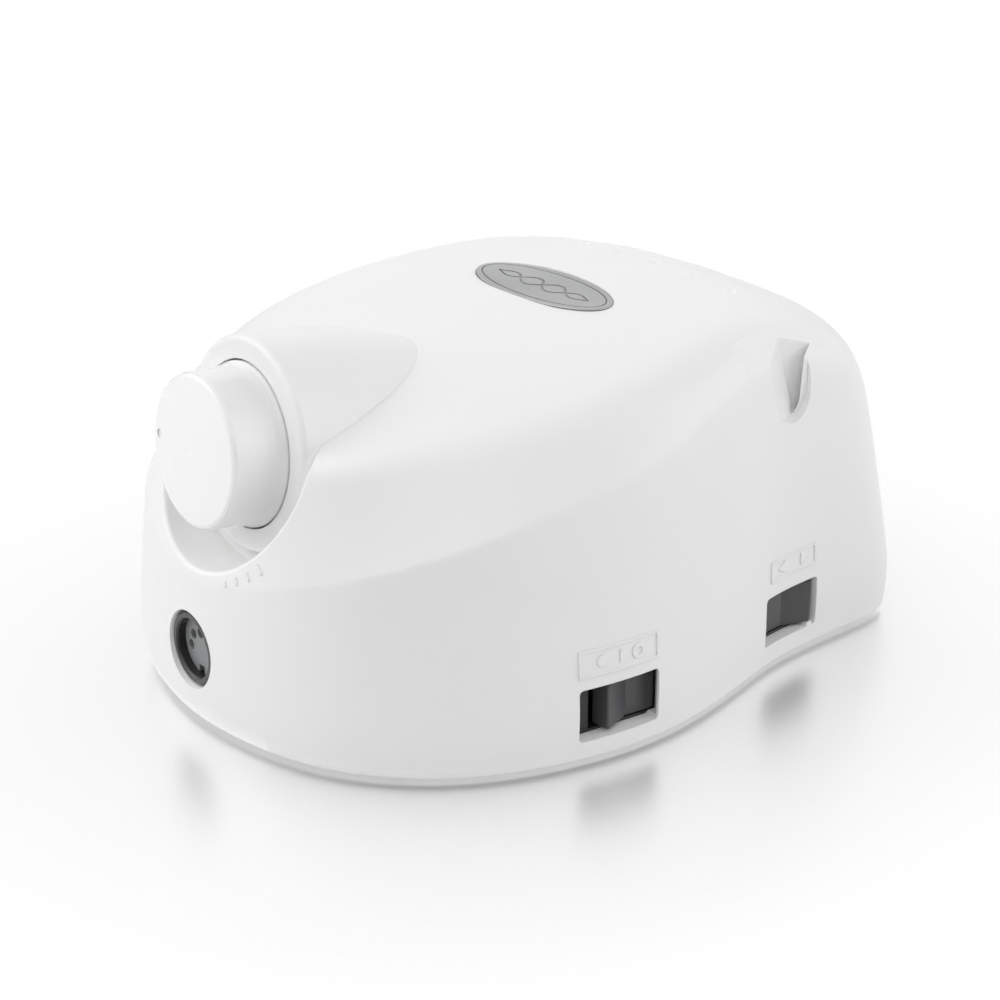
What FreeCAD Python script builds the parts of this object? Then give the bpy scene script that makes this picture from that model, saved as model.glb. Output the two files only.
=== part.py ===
import FreeCAD, Part
import Sketcher
import math
import os

# Control box of a nail drill: a hollow free-form hood on a flat base plate, with a speed knob
# and a round handpiece socket in front, two rocker switches in the +X wall, a power switch,
# a mains inlet and a pedal jack in the rear wall, and a transformer and a control board inside.
# The front faces -Y, Z is up and the feet stand on z = 0. Shapes are laid out in workshop
# coordinates; every finished piece is then moved along Y by fore_aft_shift.

Vec = FreeCAD.Vector
Rotation = FreeCAD.Rotation
Placement = FreeCAD.Placement
X_AXIS, Y_AXIS, Z_AXIS = Vec(1, 0, 0), Vec(0, 1, 0), Vec(0, 0, 1)

doc = FreeCAD.newDocument("nail_drill_box")

# ------------------------------------------------------------------ driving dimensions
DIMENSIONS = [
    ("rim_height", 1.5), ("shell_wall", 2.3), ("fore_aft_shift", -17.13),
    ("knob_tilt", 5.2), ("knob_centre_y", -46.6), ("knob_centre_z", 56.3),
    ("knob_radius", 15.25), ("knob_reach", 11.4),
    ("knob_hole_radius", 16.7), ("knob_hole_depth", 3.4),
    ("barrel_radius", 21.4), ("recess_radius", 23.5), ("recess_depth", 4.2),
    ("shaft_radius", 3.0), ("bushing_radius", 3.5), ("pot_radius", 8.2),
    ("socket_height", 16.5), ("socket_hole_radius", 8.0),
    ("socket_barrel_radius", 7.5), ("socket_bore_radius", 6.0),
    ("rocker_length", 13.8), ("rocker_height", 9.4), ("rocker_vee", 13.0), ("rocker_face", 3.6),
    ("pin_radius", 1.2), ("pin_clearance", 0.05),
    ("frame_length", 25.2), ("frame_height", 12.8),
    ("window_height", 11.0), ("window_inset", 3.4),
    ("plate_thickness", 2.5), ("foot_radius", 6.0),
    ("bur_hole_radius", 1.3), ("bur_pitch", 12.0), ("bur_row_y", 58.2), ("bur_depth", 12.0),
    ("badge_long", 20.5), ("badge_short", 8.4), ("badge_thickness", 1.5), ("badge_y", 27.2),
    ("core_width", 44.0), ("core_height", 37.0), ("core_stack", 20.0),
    ("leg_width", 14.6), ("core_yoke", 7.4),
    ("board_length", 48.0), ("board_width", 66.0), ("board_thickness", 1.6),
    ("board_level", 10.0),
    ("jack_bore_radius", 1.85), ("inlet_width", 20.6), ("inlet_height", 12.6),
    ("power_length", 17.6), ("power_height", 10.6),
    ("power_frame_length", 21.0), ("power_frame_height", 15.0),
    ("screw_head_radius", 2.8), ("screw_radius", 1.45), ("wire_radius", 0.7),
]


class Size:
    """the sheet's values, one attribute per alias"""


sheet = doc.addObject("Spreadsheet::Sheet", "Dimensions")
for row, (alias, value) in enumerate(DIMENSIONS, 1):
    sheet.set("A%d" % row, alias)
    sheet.set("B%d" % row, str(value))
    sheet.setAlias("B%d" % row, alias)
doc.recompute()
for alias, value in DIMENSIONS:
    setattr(Size, alias, float(sheet.get(alias)))


def dim(alias, add=0.0, times=1.0):
    """a size from the sheet: its value and the expression that binds it"""
    expression = "Dimensions.%s * %r + (%r)" % (alias, float(times), float(add))
    return (getattr(Size, alias) * times + add, expression)


def value_of(amount):
    return amount[0] if isinstance(amount, tuple) else float(amount)


def bind(obj, prop, amount):
    setattr(obj, prop, value_of(amount))
    if isinstance(amount, tuple):
        obj.setExpression(prop, amount[1])


# ------------------------------------------------------------------ frames and pieces
PIECES = []


def frame(x, y, z, rotation=None):
    return Placement(Vec(x, y, z), rotation or Rotation())


def shifted(place):
    """a workshop placement moved into the object's frame"""
    return Placement(place.Base + Vec(0, Size.fore_aft_shift, 0), place.Rotation)


def register(obj, place):
    """place a document object, given in workshop coordinates, and list it for export"""
    obj.Placement = shifted(place)
    PIECES.append(obj)
    return obj


def add_piece(label, shape, place=None):
    """a node from one solid, or from a list of separate solids of one kind"""
    piece = doc.addObject("Part::Feature", label)
    piece.Shape = Part.makeCompound(shape) if isinstance(shape, list) else shape
    return register(piece, place or frame(0, 0, 0))


# ------------------------------------------------------------------ plain shapes
def block(x0, y0, z0, x1, y1, z1):
    """box between two corners"""
    return Part.makeBox(x1 - x0, y1 - y0, z1 - z0, Vec(x0, y0, z0))


def rod(radius, height, base, axis=Z_AXIS):
    return Part.makeCylinder(radius, height, base, axis)


def placed(shape, place):
    result = shape.copy()
    result.Placement = place.multiply(result.Placement)
    return result


def moved(shape, x, y, z):
    return placed(shape, frame(x, y, z))


def polygon_face(points):
    return Part.Face(Part.makePolygon(points + [points[0]]))


def largest(shape):
    """the biggest solid, where a boolean left loose crumbs"""
    if len(shape.Solids) > 1:
        return max(shape.Solids, key=lambda solid: solid.Volume)
    return shape


# ------------------------------------------------------------------ PartDesign helpers
def sketch_on(body, name, offset=0.0, role="XY_Plane"):
    plane = [item for item in body.Origin.OriginFeatures if item.Role == role][0]
    sketch = body.newObject("Sketcher::SketchObject", name)
    sketch.AttachmentSupport = [(plane, "")]
    sketch.MapMode = "FlatFace"
    if isinstance(offset, tuple) or offset != 0.0:
        sketch.AttachmentOffset = frame(0, 0, value_of(offset))
        if isinstance(offset, tuple):
            sketch.setExpression("AttachmentOffset.Base.z", offset[1])
    return sketch


def bind_constraint(sketch, constraint, amount):
    index = sketch.addConstraint(constraint)
    if isinstance(amount, tuple):
        sketch.setExpression("Constraints[%d]" % index, amount[1])


def fix_point(sketch, geometry, vertex, point):
    """dimension a point from the sketch origin, or put it on an axis"""
    for amount, kind, axis in zip(point, ("DistanceX", "DistanceY"), (-2, -1)):
        if abs(value_of(amount)) < 1e-9:
            on_axis = Sketcher.Constraint("PointOnObject", geometry, vertex, axis)
            sketch.addConstraint(on_axis)
        else:
            distance = Sketcher.Constraint(kind, -1, 1, geometry, vertex, value_of(amount))
            bind_constraint(sketch, distance, amount)


def polygon(sketch, points):
    count = len(points)
    first = sketch.GeometryCount
    corners = [Vec(value_of(x), value_of(y), 0) for x, y in points]
    sides = [Part.LineSegment(corners[i], corners[(i + 1) % count]) for i in range(count)]
    sketch.addGeometry(sides, False)
    sketch.addConstraint([
        Sketcher.Constraint("Coincident", first + i, 2, first + (i + 1) % count, 1)
        for i in range(count)])
    for i, point in enumerate(points):
        fix_point(sketch, first + i, 1, point)


def circle(sketch, x, y, radius):
    outline = Part.Circle(Vec(value_of(x), value_of(y), 0), Z_AXIS, value_of(radius))
    index = sketch.addGeometry(outline, False)
    fix_point(sketch, index, 3, (x, y))
    bind_constraint(sketch, Sketcher.Constraint("Radius", index, value_of(radius)), radius)


def rectangle(x0, y0, x1, y1):
    return [(x0, y0), (x1, y0), (x1, y1), (x0, y1)]


def cross(reach, half):
    """outline of an upright cross with arms of a half width"""
    return [(-reach, -half), (-half, -half), (-half, -reach), (half, -reach),
            (half, -half), (reach, -half), (reach, half), (half, half),
            (half, reach), (-half, reach), (-half, half), (-reach, half)]


def pad(body, sketch, length, name, mid=False, rev=False):
    feature = body.newObject("PartDesign::Pad", name)
    feature.Profile = sketch
    bind(feature, "Length", length)
    feature.Midplane = mid
    feature.Reversed = rev
    doc.recompute()
    return feature


def pocket(body, sketch, length, name, mid=False):
    """pocket in whichever direction removes material"""
    before = body.Shape.Volume
    feature = body.newObject("PartDesign::Pocket", name)
    feature.Profile = sketch
    bind(feature, "Length", length)
    feature.Midplane = mid
    doc.recompute()
    if abs(body.Shape.Volume - before) < 1e-6:
        feature.Reversed = True
        doc.recompute()
    if abs(body.Shape.Volume - before) < 1e-6:
        raise RuntimeError(name + " cuts nothing")


def sink(body, name, points, depth, offset=0.0):
    """polygon pocket"""
    sketch = sketch_on(body, name, offset)
    polygon(sketch, points)
    pocket(body, sketch, depth, name + "_cut")


def add_shank(body, radius, length):
    """screw shank downwards from z = 0"""
    name = body.Name + "_shank"
    sketch = sketch_on(body, name)
    circle(sketch, 0.0, 0.0, radius)
    pad(body, sketch, length, name + "_pad", rev=True)


def fillet(body, base, test, radius, name):
    """round the edges that pass the test; a fillet that fails is taken out again"""
    edges = ["Edge%d" % i for i, edge in enumerate(body.Shape.Edges, 1) if test(edge)]
    feature = body.newObject("PartDesign::Fillet", name)
    feature.Base = (base, edges)
    bind(feature, "Radius", radius)
    doc.recompute()
    failed = "Invalid" in feature.State or "Error" in feature.State
    if failed or feature.Shape.isNull() or not feature.Shape.isValid():
        body.removeObject(feature)
        doc.removeObject(feature.Name)
        body.Tip = base
        doc.recompute()
        return base
    return feature


def lathe(name, points):
    """turned piece: (radius, height) outline revolved about its own Z"""
    body = doc.addObject("PartDesign::Body", name)
    sketch = sketch_on(body, name + "_outline", role="XZ_Plane")
    polygon(sketch, points)
    feature = body.newObject("PartDesign::Revolution", name + "_turn")
    feature.Profile = sketch
    feature.ReferenceAxis = (sketch, ["V_Axis"])
    feature.Angle = 360.0
    doc.recompute()
    return body


def block_object(name, sizes, x=0, y=0, z=0):
    obj = doc.addObject("Part::Box", name)
    for prop, amount in zip(("Length", "Width", "Height"), sizes):
        bind(obj, prop, amount)
    obj.Placement = frame(x, y, z)
    return obj


# ------------------------------------------------------------------ free-form hood
# The hood is described in polar sections about the badge centre. Each section runs from the
# rim up the wall to the lower character line, over the shoulder band to the upper line and
# then across the crown to a small oval ring. Azimuths are degrees from the front; the two
# halves mirror each other.
# azimuth, radius at the rim
FOOT = [
    (-4.5, 86.9), (0, 87.0), (4.5, 86.9), (10.7, 86.7), (16.4, 86.6), (22.4, 86.0),
    (27.9, 84.9), (33.0, 83.3), (36.8, 81.9), (42, 79.6), (46, 77.6), (51.6, 74.7),
    (57.7, 71.5), (64.7, 68.2), (70.7, 65.5), (77.9, 62.4), (83.8, 60.1), (90.6, 57.9),
    (98.3, 56.2), (103.9, 55.5), (108.5, 55.4), (113.5, 56.0), (118.6, 57.5), (124.8, 60.4),
    (130, 63.9), (134.2, 67.6), (138.4, 72.0), (140.6, 74.2), (142.8, 75.8), (145, 76.1),
    (147.6, 74.9), (151, 72.6), (155, 70.4), (160, 68.2), (166.8, 65.9), (173, 64.9),
    (180, 64.5), (187, 64.9)]
# azimuth, radius, z of the lower line
LOWER_LINE = [
    (-10.6, 86.9, 33.6), (0, 87.4, 31.0), (10.6, 86.9, 33.6), (16.9, 86.2, 36.0),
    (22, 85.2, 38.2), (26.8, 83.9, 40.2), (36, 79.7, 44.4), (45.9, 75.0, 48.8),
    (57.6, 68.5, 53.2), (69.8, 62.8, 57.2), (78, 59.3, 59.8), (86, 56.5, 62.4),
    (95, 54.7, 65.4), (105, 53.4, 67.8), (115, 54.2, 69.2), (125, 57.6, 69.2),
    (134, 62.8, 68.0), (142, 66.6, 66.2), (150, 65.2, 66.5), (160, 61.5, 67.0),
    (170, 59.6, 67.2), (180, 59.1, 67.6), (190, 59.6, 67.2)]
# azimuth, blend length down the wall, blend length along the shoulder
LOWER_BLEND = [
    (-10, 0.7, 0.7), (0, 0.7, 0.7), (40, 0.7, 0.9), (60, 1.3, 1.5), (75, 3.6, 3.2),
    (88, 8, 5), (100, 11, 6), (115, 12, 8), (130, 13, 12), (142, 17, 18), (155, 27, 22),
    (168, 36, 22), (180, 38, 22), (192, 36, 22)]
# azimuth, radius of the upper line, which lies on the crown surface
UPPER_LINE = [
    (-10, 80), (0, 80), (10, 79.5), (22.6, 76.6), (30, 71.3), (37, 67.5), (45.4, 63.9),
    (54.6, 60.6), (66.1, 56.6), (75.5, 53.3), (84, 50.8), (91.5, 48.9), (100, 46.9),
    (110, 45.6), (122, 45.0), (134, 44.0), (144, 42.0), (155, 39.5), (167, 36.5), (180, 35),
    (193, 36.5)]
# azimuth, blend length along the shoulder, blend length over the crown
UPPER_BLEND = [
    (-10, 3, 3), (0, 3, 3), (30, 4, 4), (60, 5, 6), (90, 5, 7), (120, 6, 8), (180, 2, 8),
    (200, 2, 8)]
# azimuth, bulge of the lower wall beyond the straight chord
BULGE = [
    (-10, 1.6), (0, 1.6), (20, 1.9), (40, 1.6), (60, 1.0), (80, .8), (100, .8), (120, .9),
    (138, 2.0), (145, 2.2), (155, 1.2), (180, .8), (190, .8)]
# y, z of the crown's centre line
CROWN_LINE = [
    (-70, 53.5), (-60, 56.5), (-50, 59.2), (-41, 61.7), (-27, 65.8), (-8, 70.3), (10, 73.4),
    (27, 75.3), (42, 75.9), (50, 75.5), (58, 74.7), (66, 73.5), (74, 72.0), (82, 70.2),
    (95, 67.2)]
# y, fall of the crown per squared distance from the centre line
CROWN_FALL = [
    (-60, .0004), (-42, .0007), (-27, .0012), (-8, .00135), (32, .0012), (45, .0010),
    (58, .0010), (75, .0010)]
# share of the way out to the bulge, height above the base edge
BASE_ROUNDING = [(0, 0), (0.30, 0.7), (0.58, 2.0), (0.80, 4.3), (0.95, 7.5)]
BULGE_Z = 13.0
RING_Z = 75.6
RING_X, RING_Y = 14.0, 4.6      # half axes of the oval ring
CROWN_OFFSET = 1.04             # vertical offset of the crown per unit of inset


def lookup(table, position, column=1):
    """smooth cubic interpolation of a table column"""
    xs = [entry[0] for entry in table]
    ys = [entry[column] for entry in table]
    last = len(xs) - 1
    if position <= xs[0]:
        i = 0
    elif position >= xs[-1]:
        i = last - 1
    else:
        i = 0
        while xs[i + 1] < position:
            i += 1

    def slope(j):
        if j == 0:
            return (ys[1] - ys[0]) / (xs[1] - xs[0])
        if j == last:
            return (ys[-1] - ys[-2]) / (xs[-1] - xs[-2])
        before = xs[j] - xs[j - 1]
        after = xs[j + 1] - xs[j]
        rise = (ys[j] - ys[j - 1]) / before * after + (ys[j + 1] - ys[j]) / after * before
        return rise / (before + after)

    span = xs[i + 1] - xs[i]
    u = max(0.0, min(1.0, (position - xs[i]) / span))
    start, end = slope(i) * span, slope(i + 1) * span
    return ((2 * u ** 3 - 3 * u * u + 1) * ys[i] + (u ** 3 - 2 * u * u + u) * start
            + (-2 * u ** 3 + 3 * u * u) * ys[i + 1] + (u ** 3 - u * u) * end)


def crown_z(x, y):
    return lookup(CROWN_LINE, y) - lookup(CROWN_FALL, y) * x * x


# plane geometry on (radius, z) pairs
def minus(a, b):
    return (a[0] - b[0], a[1] - b[1])


def between(a, b, share):
    return (a[0] + (b[0] - a[0]) * share, a[1] + (b[1] - a[1]) * share)


def cross_product(a, b):
    return a[0] * b[1] - a[1] * b[0]


def sine(a, b):
    return abs(cross_product(a, b)) / (math.hypot(*a) * math.hypot(*b))


def meet(point, run, other, other_run):
    """where two lines cross"""
    share = cross_product(minus(other, point), other_run) / cross_product(run, other_run)
    return (point[0] + share * run[0], point[1] + share * run[1])


def bezier(a, b, c, count):
    points = []
    for i in range(count + 1):
        t = i / count
        points.append(tuple((1 - t) ** 2 * a[k] + 2 * t * (1 - t) * b[k] + t * t * c[k]
                            for k in (0, 1)))
    return points


def inset_lines(wall, lower, upper, crown_run, inset, oblique):
    """corner points of the section with wall, shoulder and crown moved inwards"""
    def pushed(point, run):
        length = math.hypot(*run)
        return (point[0] - run[1] / length * inset * oblique,
                point[1] + run[0] / length * inset * oblique)

    wall_run = minus(lower, wall)
    shoulder_run = minus(upper, lower)
    new_wall = pushed(wall, wall_run)
    shoulder = pushed(lower, shoulder_run)
    if sine(wall_run, shoulder_run) > 0.15:
        new_lower = meet(new_wall, wall_run, shoulder, shoulder_run)
    else:
        new_lower = pushed(lower, wall_run)
    below = (upper[0], upper[1] - inset * CROWN_OFFSET)
    new_upper = below
    if sine(shoulder_run, crown_run) > 0.12:
        new_upper = meet(shoulder, shoulder_run, below, crown_run)
    if new_upper[0] > new_lower[0] - 2:
        new_upper = below
    return new_wall, new_lower, new_upper


def section(azimuth, base_z, inset):
    """(radius, z) poles of one section, from the base edge to the inner ring"""
    turn = abs(((azimuth + 180) % 360) - 180)
    angle = math.radians(azimuth)
    sin, cos = math.sin(angle), math.cos(angle)
    foot = lookup(FOOT, turn)
    lower = (lookup(LOWER_LINE, turn), lookup(LOWER_LINE, turn, 2))
    down_wall, up_shoulder = lookup(LOWER_BLEND, turn), lookup(LOWER_BLEND, turn, 2)
    down_shoulder, over_crown = lookup(UPPER_BLEND, turn), lookup(UPPER_BLEND, turn, 2)

    def crown(radius):
        return crown_z(radius * sin, Size.badge_y - radius * cos)

    upper_radius = lookup(UPPER_LINE, turn)
    upper = (upper_radius, crown(upper_radius))
    # stretch of a radial step where the plan outline runs obliquely
    step = 2 * math.pi / 180 if 1 <= turn <= 179 else math.pi / 180
    change = (lookup(FOOT, min(turn + 1, 180)) - lookup(FOOT, max(turn - 1, 0))) / step
    oblique = math.sqrt(1 + (change / foot) ** 2)
    chord = foot + (lower[0] - foot) * (BULGE_Z - 2.0) / (lower[1] - 2.0)
    wall = (chord + lookup(BULGE, turn) * oblique, BULGE_Z)
    if inset:
        crown_run = (1.0, (crown(upper_radius + 1.0) - crown(upper_radius - 1.0)) / 2.0)
        wall, lower, upper = inset_lines(wall, lower, upper, crown_run, inset, oblique)
        foot = foot - inset * oblique * 0.9
        down_wall = max(down_wall, 3.0)
        up_shoulder = max(up_shoulder, 3.0)
    drop = inset * CROWN_OFFSET

    points = [(foot + (wall[0] - foot) * share, base_z + rise)
              for share, rise in BASE_ROUNDING]
    # slightly bowed wall
    height = math.hypot(*minus(lower, wall))
    blend_start = between(lower, wall, min(down_wall, height * 0.92) / height)
    for i in range(6):
        radius, z = between(wall, blend_start, i / 6)
        points.append((radius + 0.35 * math.sin(math.pi * i / 6) * 0.6, z))
    # shoulder band
    width = math.hypot(*minus(upper, lower))
    up_shoulder = min(up_shoulder, width * 0.55)
    blend_end = between(lower, upper, up_shoulder / width)
    points += bezier(blend_start, lower, blend_end, 7)
    down_shoulder = min(down_shoulder, (width - up_shoulder) * 0.85)
    crown_start = between(upper, lower, down_shoulder / width)
    points += [between(blend_end, crown_start, i / 4) for i in range(1, 4)]
    # crown, ending on the level ring
    radius = upper[0] - over_crown
    points += bezier(crown_start, upper, (radius, crown(radius) - drop), 5)
    ring = 1.0 / math.sqrt((sin / RING_X) ** 2 + (cos / RING_Y) ** 2)
    for i in range(1, 11):
        inward = radius + (ring - radius) * i / 11
        points.append((inward, crown(inward) - drop))
    points.append((ring, RING_Z - drop))
    return points


def polar(azimuth, radius, z):
    angle = math.radians(azimuth)
    return Vec(radius * math.sin(angle), Size.badge_y - radius * math.cos(angle), z)


def azimuths():
    """section azimuths, closer together round the rear corners"""
    half = []
    azimuth = 0.0
    while azimuth < 179.0:
        half.append(azimuth)
        if azimuth < 126:
            azimuth += 4.5
        elif azimuth < 133:
            azimuth += 3.5
        elif azimuth < 155.5:
            azimuth += 2.5
        else:
            azimuth += 4.0833333
    half.append(180.0)
    return half + [360.0 - azimuth for azimuth in reversed(half[1:-1])]


AZIMUTHS = azimuths()


def skin(base_z, inset):
    """closed solid under the hood surface moved inwards by inset"""
    rows = [[polar(azimuth, *point) for point in section(azimuth, base_z, inset)]
            for azimuth in AZIMUTHS]
    around, along = len(rows), len(rows[0])
    surface = Part.BSplineSurface()
    surface.buildFromPolesMultsKnots(
        rows, [1] * (around + 1), [4] + [1] * (along - 4) + [4],
        [float(i) for i in range(around + 1)], [float(i) for i in range(along - 2)],
        True, False, 3, 3)
    side = surface.toShape()
    rings = [edge for edge in side.Edges if edge.BoundBox.ZLength < 1e-4]
    rings.sort(key=lambda edge: edge.BoundBox.ZMin)
    bottom = Part.Face(Part.Wire([rings[0]]))
    top = Part.Face(Part.Wire([rings[-1]]))
    shell = Part.Shell([side, bottom, top])
    shell.sewShape()
    solid = Part.Solid(shell)
    if solid.Volume < 0:
        solid.reverse()
    return solid


hood = skin(Size.rim_height, 0.0)
inner = skin(-1.0, Size.shell_wall)
proud = skin(Size.rim_height, -0.28)     # limits the height of the raised marks

# ------------------------------------------------------------------ knob barrel and recess
# own +Z points out to the front along the knob axis, own +Y up
KNOB_FRAME = frame(0, Size.knob_centre_y, Size.knob_centre_z,
                   Rotation(X_AXIS, 90.0 - Size.knob_tilt))
RECESS_STEP = -1.2                                # where the recess wall starts to close in
FLOOR_FRONT = -Size.knob_hole_depth               # floor of the barrel, along the knob axis
FLOOR_BACK = -(Size.recess_depth + 1.6)


def knob_rod(radius, z0, z1):
    return placed(rod(radius, z1 - z0, Vec(0, 0, z0)), KNOB_FRAME)


def bullet(front, taper):
    """round bar from a flat front at depth front, narrowing by (depth, narrowing) stations"""
    points = [Vec(Size.barrel_radius - narrowing, 0, -depth) for depth, narrowing in taper]
    side = Part.BSplineCurve()
    side.interpolate(points, InitialTangent=Vec(0, 0, -1), FinalTangent=Vec(-1, 0, -0.35))
    centre = Vec(0, 0, -front)
    corner = Vec(points[0].x, 0, -front)
    tail = Vec(0, 0, -taper[-1][0] - 1.5)
    outline = Part.Wire([
        Part.makeLine(centre, corner), Part.makeLine(corner, points[0]), side.toShape(),
        Part.makeLine(points[-1], tail), Part.makeLine(tail, centre)])
    return Part.Face(outline).revolve(Vec(0, 0, 0), Z_AXIS, 360)


barrel = bullet(0.0, [(12.0, 0), (20.6, 0.5), (28.0, 1.5), (34.0, 2.9), (39.6, 4.8),
                      (45.0, 7.6), (50.0, 11.5)])
barrel = barrel.makeFillet(1.3, [
    edge for edge in barrel.Edges
    if abs(edge.BoundBox.ZMax) < 1e-6 and edge.BoundBox.ZLength < 1e-6 and edge.Closed])
barrel = placed(barrel, KNOB_FRAME)

# recess round the barrel: straight wall in front, closing in on the barrel behind
recess = polygon_face([Vec(radius, 0, z) for radius, z in (
    (0, -Size.recess_depth), (Size.barrel_radius + 0.12, -Size.recess_depth),
    (Size.recess_radius, RECESS_STEP), (Size.recess_radius, 45), (0, 45))])
hood = hood.cut(placed(recess.revolve(Vec(0, 0, 0), Z_AXIS, 360), KNOB_FRAME))


def on_lip(edge):
    """edge where the straight recess wall breaks out of the hood"""
    middle = edge.valueAt((edge.FirstParameter + edge.LastParameter) / 2)
    away = middle - KNOB_FRAME.Base
    axis = KNOB_FRAME.Rotation.multVec(Z_AXIS)
    along = away.dot(axis)
    radius = (away - axis * along).Length
    return (abs(radius - Size.recess_radius) < 0.02 and along > RECESS_STEP + 0.05
            and edge.Length > 3)


lip = [edge for edge in hood.Edges if on_lip(edge)]
for lip_radius in (0.9, 0.6, 0.4):
    # the fillet can fail on the free-form surface; a smaller radius is tried then
    try:
        rounded = hood.makeFillet(lip_radius, lip)
        if (rounded.isValid() and not rounded.isNull()
                and abs(rounded.Volume - hood.Volume) < 400):
            hood = rounded
            break
    except Exception:
        continue
hood = hood.fuse(barrel)

# ------------------------------------------------------------------ places in the hood
# Side windows: own +X points out of the wall and +Y runs towards the rear; the origin lies
# on the wall's outer face at the window centre.
MODE_WALL = frame(61.45, -2.0, 10.7, Rotation(Z_AXIS, -3.6))
DIRECTION_WALL = frame(51.55, 53.3, 11.4, Rotation(Z_AXIS, 9.3))
MODE_OFFSET, DIRECTION_OFFSET = 3.0, 1.8          # switch centre behind the window centre
MODE_HALF, DIRECTION_HALF = 9.45, 8.75            # half window lengths
INSET = Size.window_inset
FRAME_FRONT = 3.5                                 # switch frame face in front of its pin
PIN_X = -INSET - FRAME_FRONT - 0.02               # rocker pin in the wall frame
SOCKET_Z = Size.socket_height
POSTS = [(48.5, -24.5), (-48.5, -24.5), (42.4, 78.0), (-42.4, 78.0)]
POST_Z = 4.3
BUR_XS = [k * Size.bur_pitch for k in range(-2, 3)]
BUR_Y = Size.bur_row_y
REAR_SEAT = 90.2                                  # y of the flat seats in the rear wall
POWER_X, INLET_X, JACK_X, REAR_Z = -22.0, 21.0, 1.0, 23.0
BADGE_FRAME = frame(0, Size.badge_y, 75.22, Rotation(X_AXIS, 2.6))


def wall_box(wall, x0, y0, z0, x1, y1, z1, edge=0.0):
    """box in a wall frame, its edges across the wall rounded by edge"""
    box = block(x0, y0, z0, x1, y1, z1)
    if edge:
        box = box.makeFillet(edge, [
            side for side in box.Edges if side.BoundBox.XLength > (x1 - x0) * 0.9])
    return placed(box, wall)


def oval(long, short, z, height):
    outline = Part.Ellipse(Vec(0, 0, z), long, short)
    return Part.Face(Part.Wire([outline.toShape()])).extrude(Vec(0, 0, height))


def badge_oval(grow, z0, z1):
    shape = oval(Size.badge_long + grow, Size.badge_short + grow, z0, z1 - z0)
    return placed(shape, BADGE_FRAME)


# ------------------------------------------------------------------ handpiece notch
NOTCH_RUN = Vec(-0.53, 0.845, -0.08)
NOTCH_RUN.normalize()


def notch_tool(grow, length, start, wide=0.0, drop=0.0):
    """narrow U-shaped slot running rearwards into the hood from its upper +X edge"""
    front_side = [(50.6 - grow, 54.4 - drop), (49.5 - grow, 58.1), (48.0 - grow, 62.2),
                  (46.6 - grow, 66.0), (45.0 - grow, 71.0), (43.0 - grow, 84.0)]
    reach = [(55.4, 84.0), (54.8, 71.0), (54.3, 66.8), (53.9, 61.0), (53.6, 56.6 - drop)]
    rear_side = [(y + grow + wide, z) for y, z in reach]
    bottom = [(52.9 + grow * 0.8 + wide, 54.6 - grow * 0.7 - drop), (51.6, 53.6 - grow - drop)]
    sides = [Vec(49.0, y, z) for y, z in front_side + rear_side]
    edges = [Part.makeLine(sides[i], sides[i + 1]) for i in range(len(sides) - 1)]
    curve = Part.BSplineCurve()
    poles = [sides[-1]] + [Vec(49.0, y, z) for y, z in bottom] + [sides[0]]
    curve.buildFromPoles(poles, False, 3)
    edges.append(curve.toShape())
    slot = Part.Face(Part.Wire(edges)).extrude(NOTCH_RUN * (length + start))
    slot.translate(NOTCH_RUN * (-start))
    return slot


# stepped outer edge on the rear side and bottom of the slot: y, z
STEP_OUTLINE = [
    (49.2, 55.0), (50.6, 53.7), (52.2, 53.0), (53.9, 52.9), (55.5, 53.2), (57.0, 54.1),
    (58.2, 55.6), (58.9, 57.4), (59.2, 60.0), (59.1, 63.0), (58.6, 65.5), (58.2, 67.2),
    (58.0, 80.0), (44.0, 80.0), (44.0, 66.0)]
notch = notch_tool(0.0, 8.5, 13.0)
notch_wall = notch_tool(3.0, 13.0, 0.0)
notch_step = polygon_face([Vec(46.9, y, z) for y, z in STEP_OUTLINE]).extrude(Vec(14, 0, 0))
notch_step = notch_step.common(notch_tool(0.0, 14.0, 13.0, wide=16.0, drop=4.5))


def notch_landing():
    """shallow sloped facet taken off the hood's edge over the slot"""
    first, second, third = Vec(45.3, 42.2, 72.3), Vec(49.3, 44.1, 67.1), Vec(42.15, 61.35, 69.87)
    normal = (second - first).cross(third - first)
    normal.normalize()
    facet = Part.makeBox(60, 60, 12, Vec(-30, -30, 0))
    centre = (first + second + third) * (1 / 3.0)
    facet.Placement = Placement(centre, Rotation(Z_AXIS, normal))
    return facet.common(block(30, 38.0, 50, 60, 72.0, 85))


# ------------------------------------------------------------------ hollow of the hood
kept = [
    # floor and rim of the knob recess
    knob_rod(Size.recess_radius + 2.3, -Size.recess_depth - 2.2, 60),
    # collar behind the front socket hole
    rod(11.6, 12.0, Vec(0, -56.2, SOCKET_Z), -Y_AXIS),
    # flat seats behind the two side windows
    wall_box(MODE_WALL, -INSET, -11.5, -6.5, 6, 17.5, 7.4),
    wall_box(DIRECTION_WALL, -INSET, -12.4, -7.2, 6, 15.2, 7.4),
    # pad on the rear wall
    block(-40, 87.4, 8.6, 40, 96, 37.4)]
kept += [rod(4.2, 26.0, Vec(x, y, POST_Z)) for x, y in POSTS]
# webs that tie the two front posts to the side walls
kept.append(block(48.5, -25.6, POST_Z, 64.0, -23.4, 30.3))
kept.append(block(-64.0, -25.6, POST_Z, -48.5, -23.4, 30.3))
# bur tubes and the web that joins them
kept += [rod(2.9, 20.0, Vec(x, BUR_Y, 60.0)) for x in BUR_XS]
kept.append(block(BUR_XS[0], BUR_Y - 0.8, 62.0, BUR_XS[-1], BUR_Y + 0.8, 80))
kept.append(notch_wall)
# thicker hood under the badge
kept.append(badge_oval(2.0, -Size.badge_thickness - 2.3, 6.0))
for shape in kept:
    inner = inner.cut(shape)
inner = largest(inner)
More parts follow.
